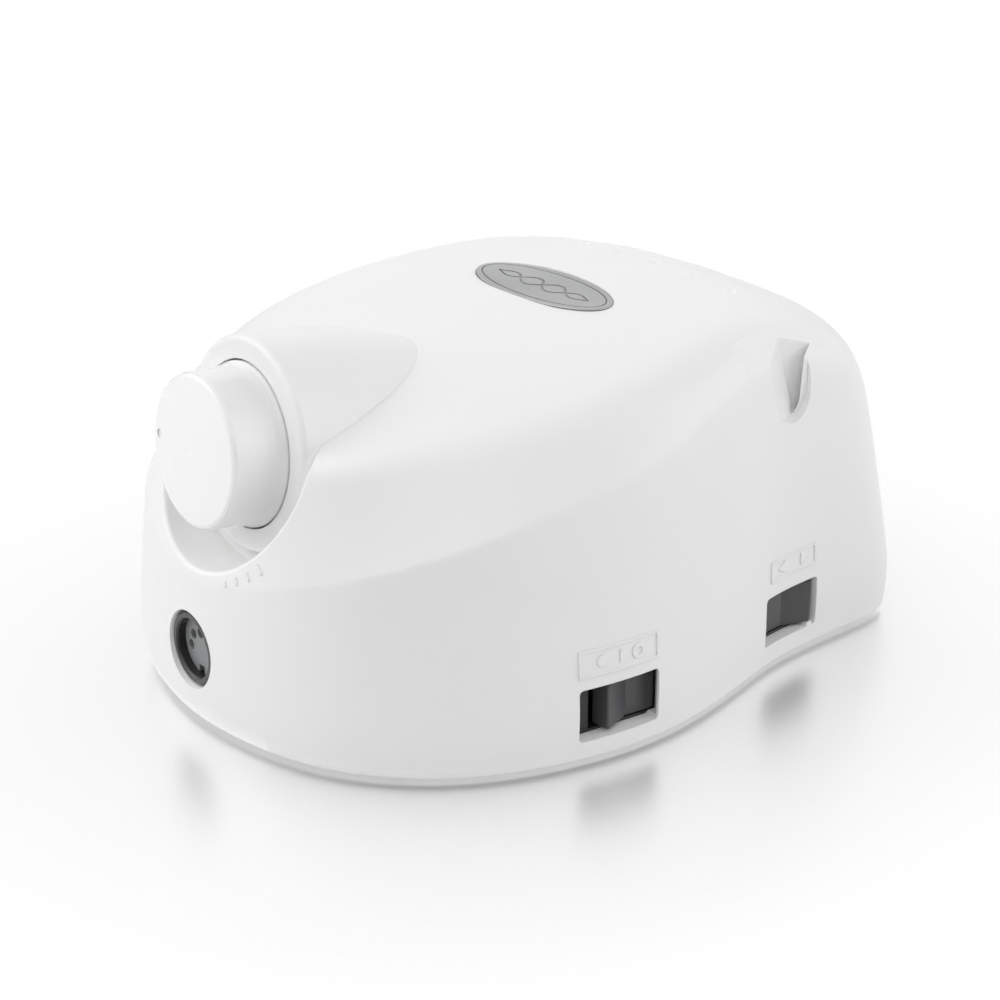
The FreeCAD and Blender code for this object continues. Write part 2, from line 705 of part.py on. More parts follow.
# hollow of the barrel, open to the inside
barrel_hollow = bullet(-FLOOR_BACK, [(14.0, 2.4), (22.0, 2.8), (29.0, 3.9), (35.0, 5.6),
                                     (40.0, 7.8)])
inner = inner.fuse(placed(barrel_hollow, KNOB_FRAME))
shell = hood.cut(inner)


# ------------------------------------------------------------------ openings
def tip_forward(half_length):
    """distance of a rocker's end edge in front of its pin"""
    return Size.rocker_face + half_length * math.tan(math.radians(Size.rocker_vee))


def tip_reach(half_length):
    return math.hypot(tip_forward(half_length), half_length)


def swing_room(wall, offset, edge):
    """room behind the rear lip of a window for the tip of the rocker as it swings"""
    height = Size.rocker_height
    room = rod(tip_reach(Size.rocker_length / 2.0) + 0.2, height + 0.6,
               Vec(PIN_X, offset, -height / 2 - 0.3))
    room = room.common(Part.makeBox(6.4, 6.0, 14.0, Vec(-6.9, edge - 0.6, -7.0)))
    return placed(room, wall)


def rear_opening(x, y, half_width, half_height):
    return block(x - half_width, y, REAR_Z - half_height, x + half_width, 99,
                 REAR_Z + half_height)


WINDOW_Z = Size.window_height / 2.0
INLET_HALF_X, INLET_HALF_Z = Size.inlet_width / 2, Size.inlet_height / 2
openings = [
    knob_rod(Size.knob_hole_radius, FLOOR_FRONT, 5),
    knob_rod(Size.bushing_radius + 0.15, -12, 0),
    rod(Size.socket_hole_radius, 14.0, Vec(0, -52.0, SOCKET_Z), -Y_AXIS),
    # side windows; a small tab stands in the lower edge of the direction window
    wall_box(MODE_WALL, -8, -MODE_HALF, -WINDOW_Z, 6, MODE_HALF, WINDOW_Z, 0.9),
    wall_box(DIRECTION_WALL, -8, -DIRECTION_HALF, -WINDOW_Z, 6, DIRECTION_HALF, WINDOW_Z,
             0.9).cut(wall_box(DIRECTION_WALL, -2.9, 6.3, -WINDOW_Z - 1, -0.25, 8.0,
                               -WINDOW_Z + 0.72))]
# clearance for the two switch flanges
for wall, offset in ((MODE_WALL, MODE_OFFSET), (DIRECTION_WALL, DIRECTION_OFFSET)):
    openings.append(wall_box(wall, -9.0, offset - 12.8, -6.5, -INSET, offset + 12.8, 6.55))
openings.append(swing_room(MODE_WALL, MODE_OFFSET, MODE_HALF))
openings.append(swing_room(DIRECTION_WALL, DIRECTION_OFFSET, DIRECTION_HALF))
openings.append(badge_oval(0.12, -Size.badge_thickness, 6.0))
openings += [rod(Size.bur_hole_radius, 30.0, Vec(x, BUR_Y, 74.6 - Size.bur_depth))
             for x in BUR_XS]
openings += [rod(Size.screw_radius - 0.25, 14.0, Vec(x, y, 4.0)) for x, y in POSTS]
openings += [
    # each rear opening has a flat seat and a hole through the wall
    rear_opening(POWER_X, REAR_SEAT, Size.power_frame_length / 2 + 1.0,
                 Size.power_frame_height / 2 + 0.2),
    rear_opening(POWER_X, 80, 9.7, 6.5),
    rear_opening(INLET_X, REAR_SEAT, 13.7, INLET_HALF_Z + 1.9),
    rear_opening(INLET_X, 80, INLET_HALF_X + 0.15, INLET_HALF_Z + 0.15),
    rod(3.15, 20, Vec(JACK_X, 80, REAR_Z), Y_AXIS),
    rod(5.6, 8, Vec(JACK_X, REAR_SEAT, REAR_Z), Y_AXIS),
    notch, notch_step, notch_landing()]
for shape in openings:
    shell = shell.cut(shape)
shell = largest(shell)

# ------------------------------------------------------------------ raised marks on the wall
MARK_BACK, MARK_DEPTH = -0.9, 3.9       # marks start inside the wall and reach out of it
FRAME_LINE = 0.55


def bar_mark(wall, y0, z0, y1, z1):
    return wall_box(wall, MARK_BACK, y0, z0, 3.0, y1, z1)


def frame_marks(wall, y0, z0, y1, z1):
    """four bars round a label"""
    return [bar_mark(wall, y0, z0, y1, z0 + FRAME_LINE),
            bar_mark(wall, y0, z1 - FRAME_LINE, y1, z1),
            bar_mark(wall, y0, z0 + FRAME_LINE, y0 + FRAME_LINE, z1 - FRAME_LINE),
            bar_mark(wall, y1 - FRAME_LINE, z0 + FRAME_LINE, y1, z1 - FRAME_LINE)]


def disc_mark(radius, y):
    return rod(radius, MARK_DEPTH, Vec(MARK_BACK, y, 10.75), X_AXIS)


def arrow_mark(points):
    arrow = polygon_face([Vec(MARK_BACK, y, z) for y, z in points])
    return placed(arrow.extrude(Vec(MARK_DEPTH, 0, 0)), DIRECTION_WALL)


marks = frame_marks(MODE_WALL, -9.6, 7.9, 9.3, 13.6)
marks += frame_marks(DIRECTION_WALL, -7.4, 8.7, 8.1, 13.4)
# mode window: a disc and a ring with a bar; direction window: two arrowheads
marks.append(placed(disc_mark(1.25, -4.3), MODE_WALL))
marks.append(placed(disc_mark(1.5, 4.1).cut(disc_mark(0.9, 4.1)), MODE_WALL))
marks.append(bar_mark(MODE_WALL, -0.35, 9.4, 0.25, 12.1))
marks.append(arrow_mark([(-4.9, 11.05), (-2.4, 12.35), (-2.4, 9.75)]))
marks.append(arrow_mark([(5.5, 11.05), (3.0, 9.75), (3.0, 12.35)]))
# graduated speed ticks beside the knob recess, below it on the +X side
for k, angle in enumerate((-64.0, -57.0, -50.0, -43.0)):
    tick = Part.makeBox(1.2 + 0.35 * k, 0.6, 40, Vec(Size.recess_radius + 1.9, -0.3, -8))
    marks.append(placed(tick, KNOB_FRAME.multiply(frame(0, 0, 0, Rotation(Z_AXIS, angle)))))
marked = shell.fuse(marks[0].multiFuse(marks[1:]).common(proud))
# marks are left off if they can't be joined to the free-form wall
if marked.isValid():
    shell = largest(marked)
add_piece("top_shell", shell)

# ------------------------------------------------------------------ base plate and feet
RIM_Z = Size.rim_height
PLATE_TOP = RIM_Z + Size.plate_thickness
STANDOFFS = [(-29.5, -34.5), (29.5, -34.5), (-29.5, 6.5), (29.5, 6.5)]
FEET = [(-38.0, -36.0), (38.0, -36.0), (-33.5, 67.0), (33.5, 67.0)]
TRAFO_X, TRAFO_Y = -12.0, 45.0
TRAFO_SCREWS = [TRAFO_X - 29.0, TRAFO_X + 29.0]


def base_plate():
    points = [polar(azimuth, section(azimuth, RIM_Z, Size.shell_wall + 0.45)[0][0], RIM_Z)
              for azimuth in AZIMUTHS]
    outline = Part.BSplineCurve()
    outline.interpolate(points, PeriodicFlag=True)
    plate = Part.Face(Part.Wire([outline.toShape()]))
    plate = plate.extrude(Vec(0, 0, Size.plate_thickness))
    # ventilation slots
    for x in (-20, 20):
        for k in range(6):
            y = -34.0 + 6.5 * k
            slot = block(x - 9, y - 1.1, 0, x + 9, y + 1.1, 8)
            slot = slot.fuse(rod(1.1, 8, Vec(x - 9, y, 0))).fuse(rod(1.1, 8, Vec(x + 9, y, 0)))
            plate = plate.cut(slot)
    for x, y in POSTS:
        plate = plate.cut(rod(Size.screw_radius + 0.2, 10, Vec(x, y, 0)))
        plate = plate.cut(rod(Size.screw_head_radius + 0.35, 1.5, Vec(x, y, RIM_Z - 0.01)))
    for x, y in STANDOFFS:
        plate = plate.fuse(rod(2.8, Size.board_level - PLATE_TOP, Vec(x, y, PLATE_TOP)))
        plate = plate.cut(rod(1.05, 8, Vec(x, y, RIM_Z + 1.2)))
    for x in TRAFO_SCREWS:
        plate = plate.cut(rod(1.3, 10, Vec(x, TRAFO_Y, 0)))
    # shallow recesses that hold the feet
    for x, y in FEET:
        plate = plate.cut(rod(Size.foot_radius + 0.15, 0.8, Vec(x, y, RIM_Z - 0.01)))
    return plate.removeSplitter()


add_piece("base_plate", base_plate())

foot = lathe("foot", [(0, 0), (dim("foot_radius", -0.8), 0), (dim("foot_radius"), 0.9),
                      (dim("foot_radius"), 2.25), (0, 2.25)])
add_piece("rubber_feet", [moved(foot.Shape, x, y, 0.0) for x, y in FEET])

# case screws go from below into the posts
case_screw = lathe("case_screw", [
    (0, 0), (dim("screw_head_radius", -0.6), 0), (dim("screw_head_radius"), 0.5),
    (dim("screw_head_radius"), 1.3), (dim("screw_radius", -0.3), 1.3),
    (dim("screw_radius", -0.3), 12.0), (0.3, 13.2), (0, 13.2)])
sink(case_screw, "case_screw_drive", cross(1.5, 0.35), 0.9)
add_piece("case_screws", [moved(case_screw.Shape, x, y, RIM_Z + 0.15) for x, y in POSTS])


# ------------------------------------------------------------------ badge plate
def wave_groove(phase):
    """fine wavy groove, widest in the middle"""
    upper, lower = [], []
    for i in range(41):
        x = -15.0 + 30.0 * i / 40
        y = 2.3 * math.sin(x * math.pi / 7.5 + phase) * math.cos(x * math.pi / 36.0)
        half = 0.22 + 0.16 * math.cos(x * math.pi / 31.0)
        upper.append(Vec(x, y + half, -0.3))
        lower.append(Vec(x, y - half, -0.3))
    there, back = Part.BSplineCurve(), Part.BSplineCurve()
    there.interpolate(upper)
    back.interpolate(list(reversed(lower)))
    outline = Part.Wire([there.toShape(), Part.makeLine(upper[-1], lower[-1]),
                         back.toShape(), Part.makeLine(lower[0], upper[0])])
    return Part.Face(outline).extrude(Vec(0, 0, 1.0))


badge = badge_oval(0.0, -Size.badge_thickness + 0.01, -0.05)
badge = badge.makeFillet(0.25, [
    edge for edge in badge.Edges
    if edge.Closed and edge.CenterOfMass.z > BADGE_FRAME.Base.z - 0.6])
border = oval(Size.badge_long - 1.3, Size.badge_short - 1.3, -0.3, 1).cut(
    oval(Size.badge_long - 1.65, Size.badge_short - 1.65, -0.4, 2))
# a groove is left out if it would spoil the plate
for groove in (border, wave_groove(0.0), wave_groove(math.pi)):
    grooved = badge.cut(placed(groove, BADGE_FRAME))
    if grooved.isValid() and len(grooved.Solids) == 1:
        badge = grooved
add_piece("badge_plate", badge)

# ------------------------------------------------------------------ speed knob
SHAFT = dim("shaft_radius")


def knob_rim(add):
    return dim("knob_radius", add)


def knob_face(add):
    return dim("knob_reach", add)


knob = lathe("speed_knob", [
    (SHAFT, -2.6), (SHAFT, 6.0), (0, 6.0), (0, knob_face(0.35)), (6.0, knob_face(0.30)),
    (11.0, knob_face(0.12)), (knob_rim(-0.9), knob_face(-0.12)),
    (knob_rim(-0.3), knob_face(-0.42)), (knob_rim(-0.03), knob_face(-1.1)),
    (knob_rim(0.30), 3.8), (knob_rim(0.48), 2.0), (knob_rim(0.78), 0.9),
    (knob_rim(1.08), 0.2), (knob_rim(1.12), -0.6), (knob_rim(1.0), -2.6),
    (knob_rim(-1.6), -2.6), (knob_rim(-2.0), 6.6), (5.6, 7.6), (5.6, -2.6)])
register(knob, KNOB_FRAME)
sketch = sketch_on(knob, "knob_mark", knob_face(0.9))
circle(sketch, -12.6, 0.0, 0.95)
pocket(knob, sketch, 1.25, "knob_mark_cut")

# ------------------------------------------------------------------ potentiometer
POT_FACE = FLOOR_BACK - 0.8
BUSHING = dim("bushing_radius")
POT_BORE = dim("shaft_radius", 0.15)
for name, outline in (
        ("knob_shaft", [
            (0, -16.0), (dim("shaft_radius", -0.05), -16.0), (dim("shaft_radius", -0.05), 5.3),
            (dim("shaft_radius", -0.5), 5.8), (0, 5.8)]),
        ("pot_bushing", [
            (SHAFT, POT_FACE), (BUSHING, POT_FACE), (BUSHING, FLOOR_FRONT + 0.2),
            (dim("bushing_radius", -0.25), FLOOR_FRONT + 0.7), (SHAFT, FLOOR_FRONT + 0.7)]),
        ("pot_body", [
            (0, POT_FACE - 11.0), (dim("pot_radius"), POT_FACE - 11.0),
            (dim("pot_radius"), POT_FACE), (POT_BORE, POT_FACE), (POT_BORE, -16.3),
            (0, -16.3)]),
        ("pot_washer", rectangle(
            dim("bushing_radius", 0.2), FLOOR_BACK - 0.75,
            dim("bushing_radius", 3.2), FLOOR_BACK - 0.05))):
    register(lathe(name, outline), KNOB_FRAME)


def pot_nut():
    """thin hexagon nut inside the knob recess, under the knob skirt"""
    height, across_flats, base = 0.6, 9.6, FLOOR_FRONT + 0.02
    corner = across_flats / math.sqrt(3.0)
    nut = doc.addObject("PartDesign::Body", "pot_nut")
    sketch = sketch_on(nut, "pot_nut_outline", base)
    polygon(sketch, [(corner * math.cos(math.radians(60 * i)),
                      corner * math.sin(math.radians(60 * i))) for i in range(6)])
    pad(nut, sketch, height, "pot_nut_pad")
    sketch = sketch_on(nut, "pot_nut_bore", base)
    circle(sketch, 0.0, 0.0, dim("bushing_radius", 0.03))
    pocket(nut, sketch, 2 * height + 20, "pot_nut_hole", mid=True)
    return nut


register(pot_nut(), KNOB_FRAME)

POT_PITCH = 4.6
terminals = []
for k in (-1, 0, 1):
    tag = Part.makeBox(1.6, 7.0, 0.5, Vec(k * POT_PITCH - 0.8, -Size.pot_radius - 6.8,
                                          POT_FACE - 8.0))
    tag = tag.cut(rod(Size.pot_radius + 0.02, 30, Vec(0, 0, -30)))
    terminals.append(placed(tag, KNOB_FRAME))
add_piece("pot_terminals", terminals)

# ------------------------------------------------------------------ round handpiece socket
# own +Z points out of the front
SOCKET_FRAME = frame(0, -61.2, SOCKET_Z, Rotation(X_AXIS, 90.0))
BORE, SOCKET = dim("socket_bore_radius"), dim("socket_barrel_radius")
COLLAR, SLEEVE = dim("socket_barrel_radius", 3.6), dim("socket_barrel_radius", 0.9)
register(lathe("socket_housing", [
    (BORE, -1.2), (dim("socket_bore_radius", 0.3), -0.8),
    (dim("socket_barrel_radius", -0.35), -0.8), (SOCKET, -1.15), (SOCKET, -5.2),
    (COLLAR, -5.2), (COLLAR, -6.8), (SLEEVE, -6.8), (SLEEVE, -15.0), (BORE, -15.0)]),
    SOCKET_FRAME)

# five pins on a half circle
PINS = [(3.75 * math.cos(math.radians(angle)), 3.75 * math.sin(math.radians(angle)) - 1.0)
        for angle in (180, 135, 90, 45, 0)]
insulator = doc.addObject("PartDesign::Body", "socket_insulator")
sketch = sketch_on(insulator, "insulator_outline", -14.0)
circle(sketch, 0.0, 0.0, dim("socket_bore_radius", -0.02))
pad(insulator, sketch, 11.2, "insulator_pad")
sketch = sketch_on(insulator, "insulator_slots", -2.8)
for x, y in PINS:
    circle(sketch, x, y, 1.05)
pocket(insulator, sketch, 8.0, "insulator_slot_cut")
# locating key
sink(insulator, "insulator_key", rectangle(-1.0, -6.6, 1.0, -4.3), 6.0, -2.8)
register(insulator, SOCKET_FRAME)
add_piece("socket_contacts", [
    placed(rod(0.9, 5.5, Vec(x, y, -10.8)).cut(rod(0.62, 4.2, Vec(x, y, -9.4))), SOCKET_FRAME)
    for x, y in PINS])
add_piece("socket_solder_tails", [
    placed(rod(0.5, 4.0, Vec(x, y, -18.02)), SOCKET_FRAME) for x, y in PINS])

# ------------------------------------------------------------------ rocker switches
# Each switch has its origin on the rocker pin: own Z is the pin axis, +X points out of
# the wall.
VEE = Size.rocker_vee
PIN_STUB = 0.9          # pin beyond each side of the rocker


def rocker_body(name, length, height):
    """rocker with a shallow V face"""
    half = length[0] / 2.0
    half_text = "(%s) / 2" % length[1]
    face = dim("rocker_face")
    tip_x = (tip_forward(half), "%s + %s * tan(Dimensions.rocker_vee)" % (face[1], half_text))
    body = doc.addObject("PartDesign::Body", name)
    sketch = sketch_on(body, name + "_profile")
    polygon(sketch, [
        (face, 0), (tip_x, (half, half_text)), (0.8, (half - 0.35, half_text + " - 0.35")),
        (-1.6, 3.0), (-2.3, 0.0), (-1.6, -3.0),
        (0.8, (-half + 0.35, "-" + half_text + " + 0.35")), (tip_x, (-half, "-" + half_text))])
    tip = pad(body, sketch, height, name + "_pad", mid=True)

    def end_edge(edge):
        box = edge.BoundBox
        return (abs(box.ZLength - height[0]) < 1e-4 and box.XMin > 3.0
                and abs(box.YMin) > half - 0.5)

    def rim_edge(edge):
        box = edge.BoundBox
        return (abs(abs(box.ZMin) - height[0] / 2) < 1e-3 and box.ZLength < 1e-3
                and box.XMin > face[0] - 0.05)

    tip = fillet(body, tip, end_edge, 0.35, name + "_ends")
    fillet(body, tip, rim_edge, 0.3, name + "_rim")
    sketch = sketch_on(body, name + "_pin")
    circle(sketch, 0.0, 0.0, dim("pin_radius"))
    pin_length = (height[0] + 2 * PIN_STUB, "%s + %r" % (height[1], 2 * PIN_STUB))
    pad(body, sketch, pin_length, name + "_pins", mid=True)
    return body


def switch_body(length, height, flange_size, flange_back, case_size, depth):
    """flange and case with a well for the rocker and a bore for its pin"""
    half, half_height = length / 2.0, height / 2.0
    swing = math.atan2(half, tip_forward(half)) + math.radians(VEE)
    well = tip_reach(half) * math.sin(swing) + 0.22
    flange_y, flange_z = flange_size
    case_y, case_z = case_size
    flange = Part.makeBox(FRAME_FRONT - flange_back, flange_y, flange_z,
                          Vec(flange_back, -flange_y / 2, -flange_z / 2))
    case = Part.makeBox(flange_back + depth, case_y, case_z,
                        Vec(-depth, -case_y / 2, -case_z / 2))
    body = flange.fuse(case).removeSplitter()
    body = body.cut(Part.makeBox(FRAME_FRONT + 3.2, 2 * well, 2 * half_height + 0.5,
                                 Vec(-3.0, -well, -half_height - 0.25)))
    bore = half_height + PIN_STUB + 0.1
    body = body.cut(rod(Size.pin_radius + Size.pin_clearance, 2 * bore, Vec(0, 0, -bore)))
    return body.removeSplitter()


def terminal_tags(depth, count, pitch, height, length):
    """drilled tags behind a switch case"""
    tags = []
    for i in range(count):
        y = (i - (count - 1) / 2.0) * pitch
        back = -depth - length
        tag = Part.makeBox(length, 0.8, height, Vec(back, y - 0.4, -height / 2))
        tags.append(tag.cut(rod(0.7, 4, Vec(back + 1.9, y + 2, 0), -Y_AXIS)))
    return tags


def add_switch(name, pin, tilt, rocker, flange_size, flange_back, case_size, depth, tags):
    length, height = rocker
    register(rocker_body(name + "_rocker", length, height),
             pin.multiply(frame(0, 0, 0, Rotation(Z_AXIS, tilt))))
    body = switch_body(length[0], height[0], flange_size, flange_back, case_size, depth)
    add_piece(name + "_switch_body", body, pin)
    add_piece(name + "_switch_terminals",
              [placed(tag, pin) for tag in terminal_tags(depth, *tags)])


for name, wall, offset, tilt in (
        ("mode", MODE_WALL, MODE_OFFSET, VEE),
        ("direction", DIRECTION_WALL, DIRECTION_OFFSET, -VEE)):
    add_switch(name, wall.multiply(frame(PIN_X, offset, 0)), tilt,
               rocker=(dim("rocker_length"), dim("rocker_height")),
               flange_size=(Size.frame_length, Size.frame_height), flange_back=1.9,
               case_size=(18.6, 12.2), depth=9.0, tags=(3, 5.0, 4.0, 6.5))

# the power switch's frame sits in its rear seat
power_wall = frame(POWER_X, REAR_SEAT + 1.55, REAR_Z, Rotation(Z_AXIS, 90.0))
add_switch("power", power_wall.multiply(frame(-FRAME_FRONT, 0, 0)), VEE,
           rocker=(dim("power_length"), dim("power_height")),
           flange_size=(Size.power_frame_length + 1.6, Size.power_frame_height),
           flange_back=FRAME_FRONT - 1.5, case_size=(19.2, 12.8), depth=9.5,
           tags=(4, 4.6, 4.8, 7.0))

# ------------------------------------------------------------------ mains inlet
INLET_PINS = [INLET_X - 4.3, INLET_X + 4.3]


def inlet_body():
    """flange and shroud, with a round-ended well"""
    body = block(INLET_X - 13.5, REAR_SEAT + 0.02, REAR_Z - INLET_HALF_Z - 1.7,
                 INLET_X + 13.5, REAR_SEAT + 1.6, REAR_Z + INLET_HALF_Z + 1.7)
    body = body.makeFillet(1.6, [edge for edge in body.Edges if edge.BoundBox.YLength > 1.4])
    body = body.fuse(block(
        INLET_X - INLET_HALF_X, REAR_SEAT - 14.0, REAR_Z - INLET_HALF_Z,
        INLET_X + INLET_HALF_X, REAR_SEAT + 0.5, REAR_Z + INLET_HALF_Z)).removeSplitter()
    ends = [rod(3.9, 14.0, Vec(x, REAR_SEAT + 3.0, REAR_Z), -Y_AXIS)
            for x in (INLET_X - 4.1, INLET_X + 4.1)]
    well = ends[0].fuse(ends[1])
    well = well.fuse(block(INLET_X - 4.1, REAR_SEAT - 11.0, REAR_Z - 2.9,
                           INLET_X + 4.1, REAR_SEAT + 3.0, REAR_Z + 2.9)).removeSplitter()
    body = body.cut(well)
    for x in INLET_PINS:
        body = body.cut(rod(1.2, 8.0, Vec(x, REAR_SEAT - 16, REAR_Z), Y_AXIS))
    return body


def inlet_pin(x):
    pin = rod(1.18, 20.5, Vec(x, REAR_SEAT - 20.5, REAR_Z), Y_AXIS)
    return pin.makeFillet(0.5, [
        edge for edge in pin.Edges if edge.Closed and edge.CenterOfMass.y > REAR_SEAT - 1])


add_piece("mains_inlet_body", inlet_body())
add_piece("mains_inlet_pins", [inlet_pin(x) for x in INLET_PINS])

# ------------------------------------------------------------------ pedal jack
# own +Z points out of the rear
JACK_FRAME = frame(JACK_X, REAR_SEAT, REAR_Z, Rotation(X_AXIS, -90.0))
JACK_BORE = dim("jack_bore_radius")
register(lathe("pedal_jack_body", [
    (JACK_BORE, -13.5), (JACK_BORE, 1.55), (2.6, 1.55), (3.0, 1.2), (3.0, -3.1), (4.4, -3.1),
    (4.4, -13.5)]), JACK_FRAME)
register(lathe("pedal_jack_nut", [
    (3.03, 0.03), (5.2, 0.03), (5.2, 0.9), (4.8, 1.3), (3.03, 1.3)]), JACK_FRAME)
add_piece("pedal_jack_terminals", [
    placed(Part.makeBox(1.6, 0.4, 5.0, Vec(x - 0.8, -0.2, -18.52)), JACK_FRAME)
    for x in (-2.9, 2.9)])

# ------------------------------------------------------------------ transformer
CORE_Z = PLATE_TOP + 0.02
CORE_TOP = CORE_Z + Size.core_height
YOKE = Size.core_yoke
HALF_CORE, HALF_LEG, HALF_STACK = Size.core_width / 2, Size.leg_width / 2, Size.core_stack / 2
SLOT = (Size.core_width - Size.leg_width) / 2 - YOKE      # width of a winding window
SLOT_Z = CORE_Z + YOKE
SLOT_HEIGHT = Size.core_height - 2 * YOKE
SLOT_MIDDLE, SLOT_TOP = SLOT_Z + SLOT_HEIGHT / 2, SLOT_Z + SLOT_HEIGHT


def transformer_core():
    """block with two winding windows"""
    core_block = block_object("core_block", (dim("core_width"), dim("core_stack"),
                                             dim("core_height")))
    slot_text = "(Dimensions.core_width - Dimensions.leg_width) / 2 - Dimensions.core_yoke"
    sizes = ((SLOT, slot_text), dim("core_stack", 4), dim("core_height", -2 * YOKE))
    windows = doc.addObject("Part::MultiFuse", "core_windows")
    windows.Shapes = [
        block_object("core_window_a", sizes, YOKE, -2, YOKE),
        block_object("core_window_b", sizes, Size.core_width - YOKE - SLOT, -2, YOKE)]
    doc.recompute()
    core = doc.addObject("Part::Cut", "transformer_core")
    core.Base = core_block
    core.Tool = windows
    doc.recompute()
    return core


def leg_ring(out_x, out_y, gap_x, gap_y, z0, z1, corner=0.0):
    """square ring round the middle leg; sizes are measured from the leg's faces"""
    half_x, half_y = HALF_LEG + out_x, HALF_STACK + out_y
    outer = block(TRAFO_X - half_x, TRAFO_Y - half_y, z0, TRAFO_X + half_x, TRAFO_Y + half_y, z1)
    if corner:
        outer = outer.makeFillet(corner, [
            edge for edge in outer.Edges if edge.BoundBox.ZLength > (z1 - z0) * 0.9])
    half_x, half_y = HALF_LEG + gap_x, HALF_STACK + gap_y
    return outer.cut(block(TRAFO_X - half_x, TRAFO_Y - half_y, z0 - 1,
                           TRAFO_X + half_x, TRAFO_Y + half_y, z1 + 1))


def transformer_strap():
    """strap over the core with two screwed feet"""
    side = HALF_CORE + 1.1
    strap = block(TRAFO_X - side, TRAFO_Y - 8.0, CORE_Z,
                  TRAFO_X + side, TRAFO_Y + 8.0, CORE_TOP + 1.1)
    strap = strap.makeFillet(1.4, [
        edge for edge in strap.Edges
        if edge.BoundBox.YLength > 15 and edge.CenterOfMass.z > CORE_TOP])
    side = HALF_CORE + 0.05
    strap = strap.cut(block(TRAFO_X - side, TRAFO_Y - 9, CORE_Z - 1,
                            TRAFO_X + side, TRAFO_Y + 9, CORE_TOP + 0.05))
    for x0, x1, screw_x in ((-33.0, -23.1, TRAFO_SCREWS[0]), (23.1, 33.0, TRAFO_SCREWS[1])):
        strap = strap.fuse(block(TRAFO_X + x0, TRAFO_Y - 8.0, CORE_Z,
                                 TRAFO_X + x1, TRAFO_Y + 8.0, CORE_Z + 1.0))
        strap = strap.cut(rod(1.6, 4, Vec(screw_x, TRAFO_Y, CORE_Z - 1)))
    return strap.removeSplitter()


register(transformer_core(), frame(TRAFO_X - HALF_CORE, TRAFO_Y - HALF_STACK, CORE_Z))
bobbin_tube = leg_ring(1.1, 1.3, 0.1, 0.15, SLOT_Z + 0.1, SLOT_TOP - 0.1)
bobbin_flanges = [leg_ring(SLOT - 0.15, 8.6, 0.1, 0.15, z, z + 1.0)
                  for z in (SLOT_Z + 0.1, SLOT_MIDDLE - 0.5, SLOT_TOP - 1.1)]
add_piece("transformer_bobbin", bobbin_tube.multiFuse(bobbin_flanges).removeSplitter())
add_piece("secondary_winding", leg_ring(
    SLOT - 0.9, 7.4, 1.15, 1.35, SLOT_Z + 1.15, SLOT_MIDDLE - 0.55, 2.6))
add_piece("primary_winding", leg_ring(
    SLOT - 0.7, 7.8, 1.15, 1.35, SLOT_MIDDLE + 0.55, SLOT_TOP - 1.15, 2.6))
add_piece("transformer_strap", transformer_strap())
screw = lathe("machine_screw", [(0, 0), (2.9, 0), (2.9, 1.0), (2.3, 1.7), (0, 1.7)])
add_shank(screw, 1.25, 3.3)
sink(screw, "machine_screw_slot", rectangle(-3.2, -0.4, 3.2, 0.4), 0.8, 1.7)
add_piece("transformer_screws",
          [moved(screw.Shape, x, TRAFO_Y, CORE_Z + 1.02) for x in TRAFO_SCREWS])

# ------------------------------------------------------------------ control board
BOARD_Z = Size.board_level + 0.02
BOARD_Y = -38.0                                        # front edge
BOARD_TOP = BOARD_Z + Size.board_thickness + 0.01


def on_board(x0, y0, z0, x1, y1, z1):
    """box with its heights measured from the board's top"""
    return block(x0, y0, BOARD_TOP + z0, x1, y1, BOARD_TOP + z1)


board = doc.addObject("PartDesign::Body", "control_board")
sketch = sketch_on(board, "board_outline")
polygon(sketch, rectangle(dim("board_width", times=-0.5), 0.0,
                          dim("board_width", times=0.5), dim("board_length")))
pad(board, sketch, dim("board_thickness"), "board_pad")
sketch = sketch_on(board, "board_holes")
for x, y in STANDOFFS:
    circle(sketch, x, y - BOARD_Y, 1.5)
pocket(board, sketch, 8.0, "board_hole_cut", mid=True)
register(board, frame(0, BOARD_Y, BOARD_Z))

screw = lathe("board_screw", [(0, 0), (2.2, 0), (2.2, 0.8), (1.6, 1.4), (0, 1.4)])
add_shank(screw, 1.0, 6.5)
sink(screw, "board_screw_drive", cross(1.2, 0.25), 0.7, 1.4)
add_piece("board_screws", [moved(screw.Shape, x, y, BOARD_TOP) for x, y in STANDOFFS])

capacitor = lathe("capacitor", [
    (0, 0), (5.9, 0), (6.3, 0.4), (6.3, 1.6), (5.9, 2.1), (6.3, 2.6), (6.3, 19.5),
    (5.9, 20.0), (0, 20.0)])
sink(capacitor, "capacitor_vent", cross(4.0, 0.2), 0.25, 20.0)
add_piece("smoothing_capacitors",
          [moved(capacitor.Shape, -19.0, y, BOARD_TOP) for y in (-24.0, -9.5)])
capacitor = lathe("small_capacitor", [
    (0, 0), (2.4, 0), (2.5, 0.5), (2.5, 10.5), (2.3, 11.0), (0, 11.0)])
add_piece("filter_capacitors",
          [moved(capacitor.Shape, x, -30.0, BOARD_TOP) for x in (-6.0, 0.5, 7.0)])


def eased_block(kind, label, source_name, sizes, ease, test, place):
    """block object with a fillet or chamfer on the edges that pass the test"""
    source = block_object(source_name, sizes)
    obj = doc.addObject(kind, label)
    obj.Base = source
    doc.recompute()
    obj.Edges = [(i, ease, ease) for i, edge in enumerate(source.Shape.Edges, 1) if test(edge)]
    register(obj, place)


eased_block("Part::Fillet", "bridge_rectifier", "rectifier_block", (15.0, 4.6, 11.5), 0.5,
            lambda edge: edge.BoundBox.ZLength > 5, frame(-8.0, -20.0, BOARD_TOP + 1.5))
add_piece("rectifier_leads", [
    on_board(-6.6 + 3.8 * k, -18.0, 0, -5.9 + 3.8 * k, -17.4, 1.5) for k in range(4)])


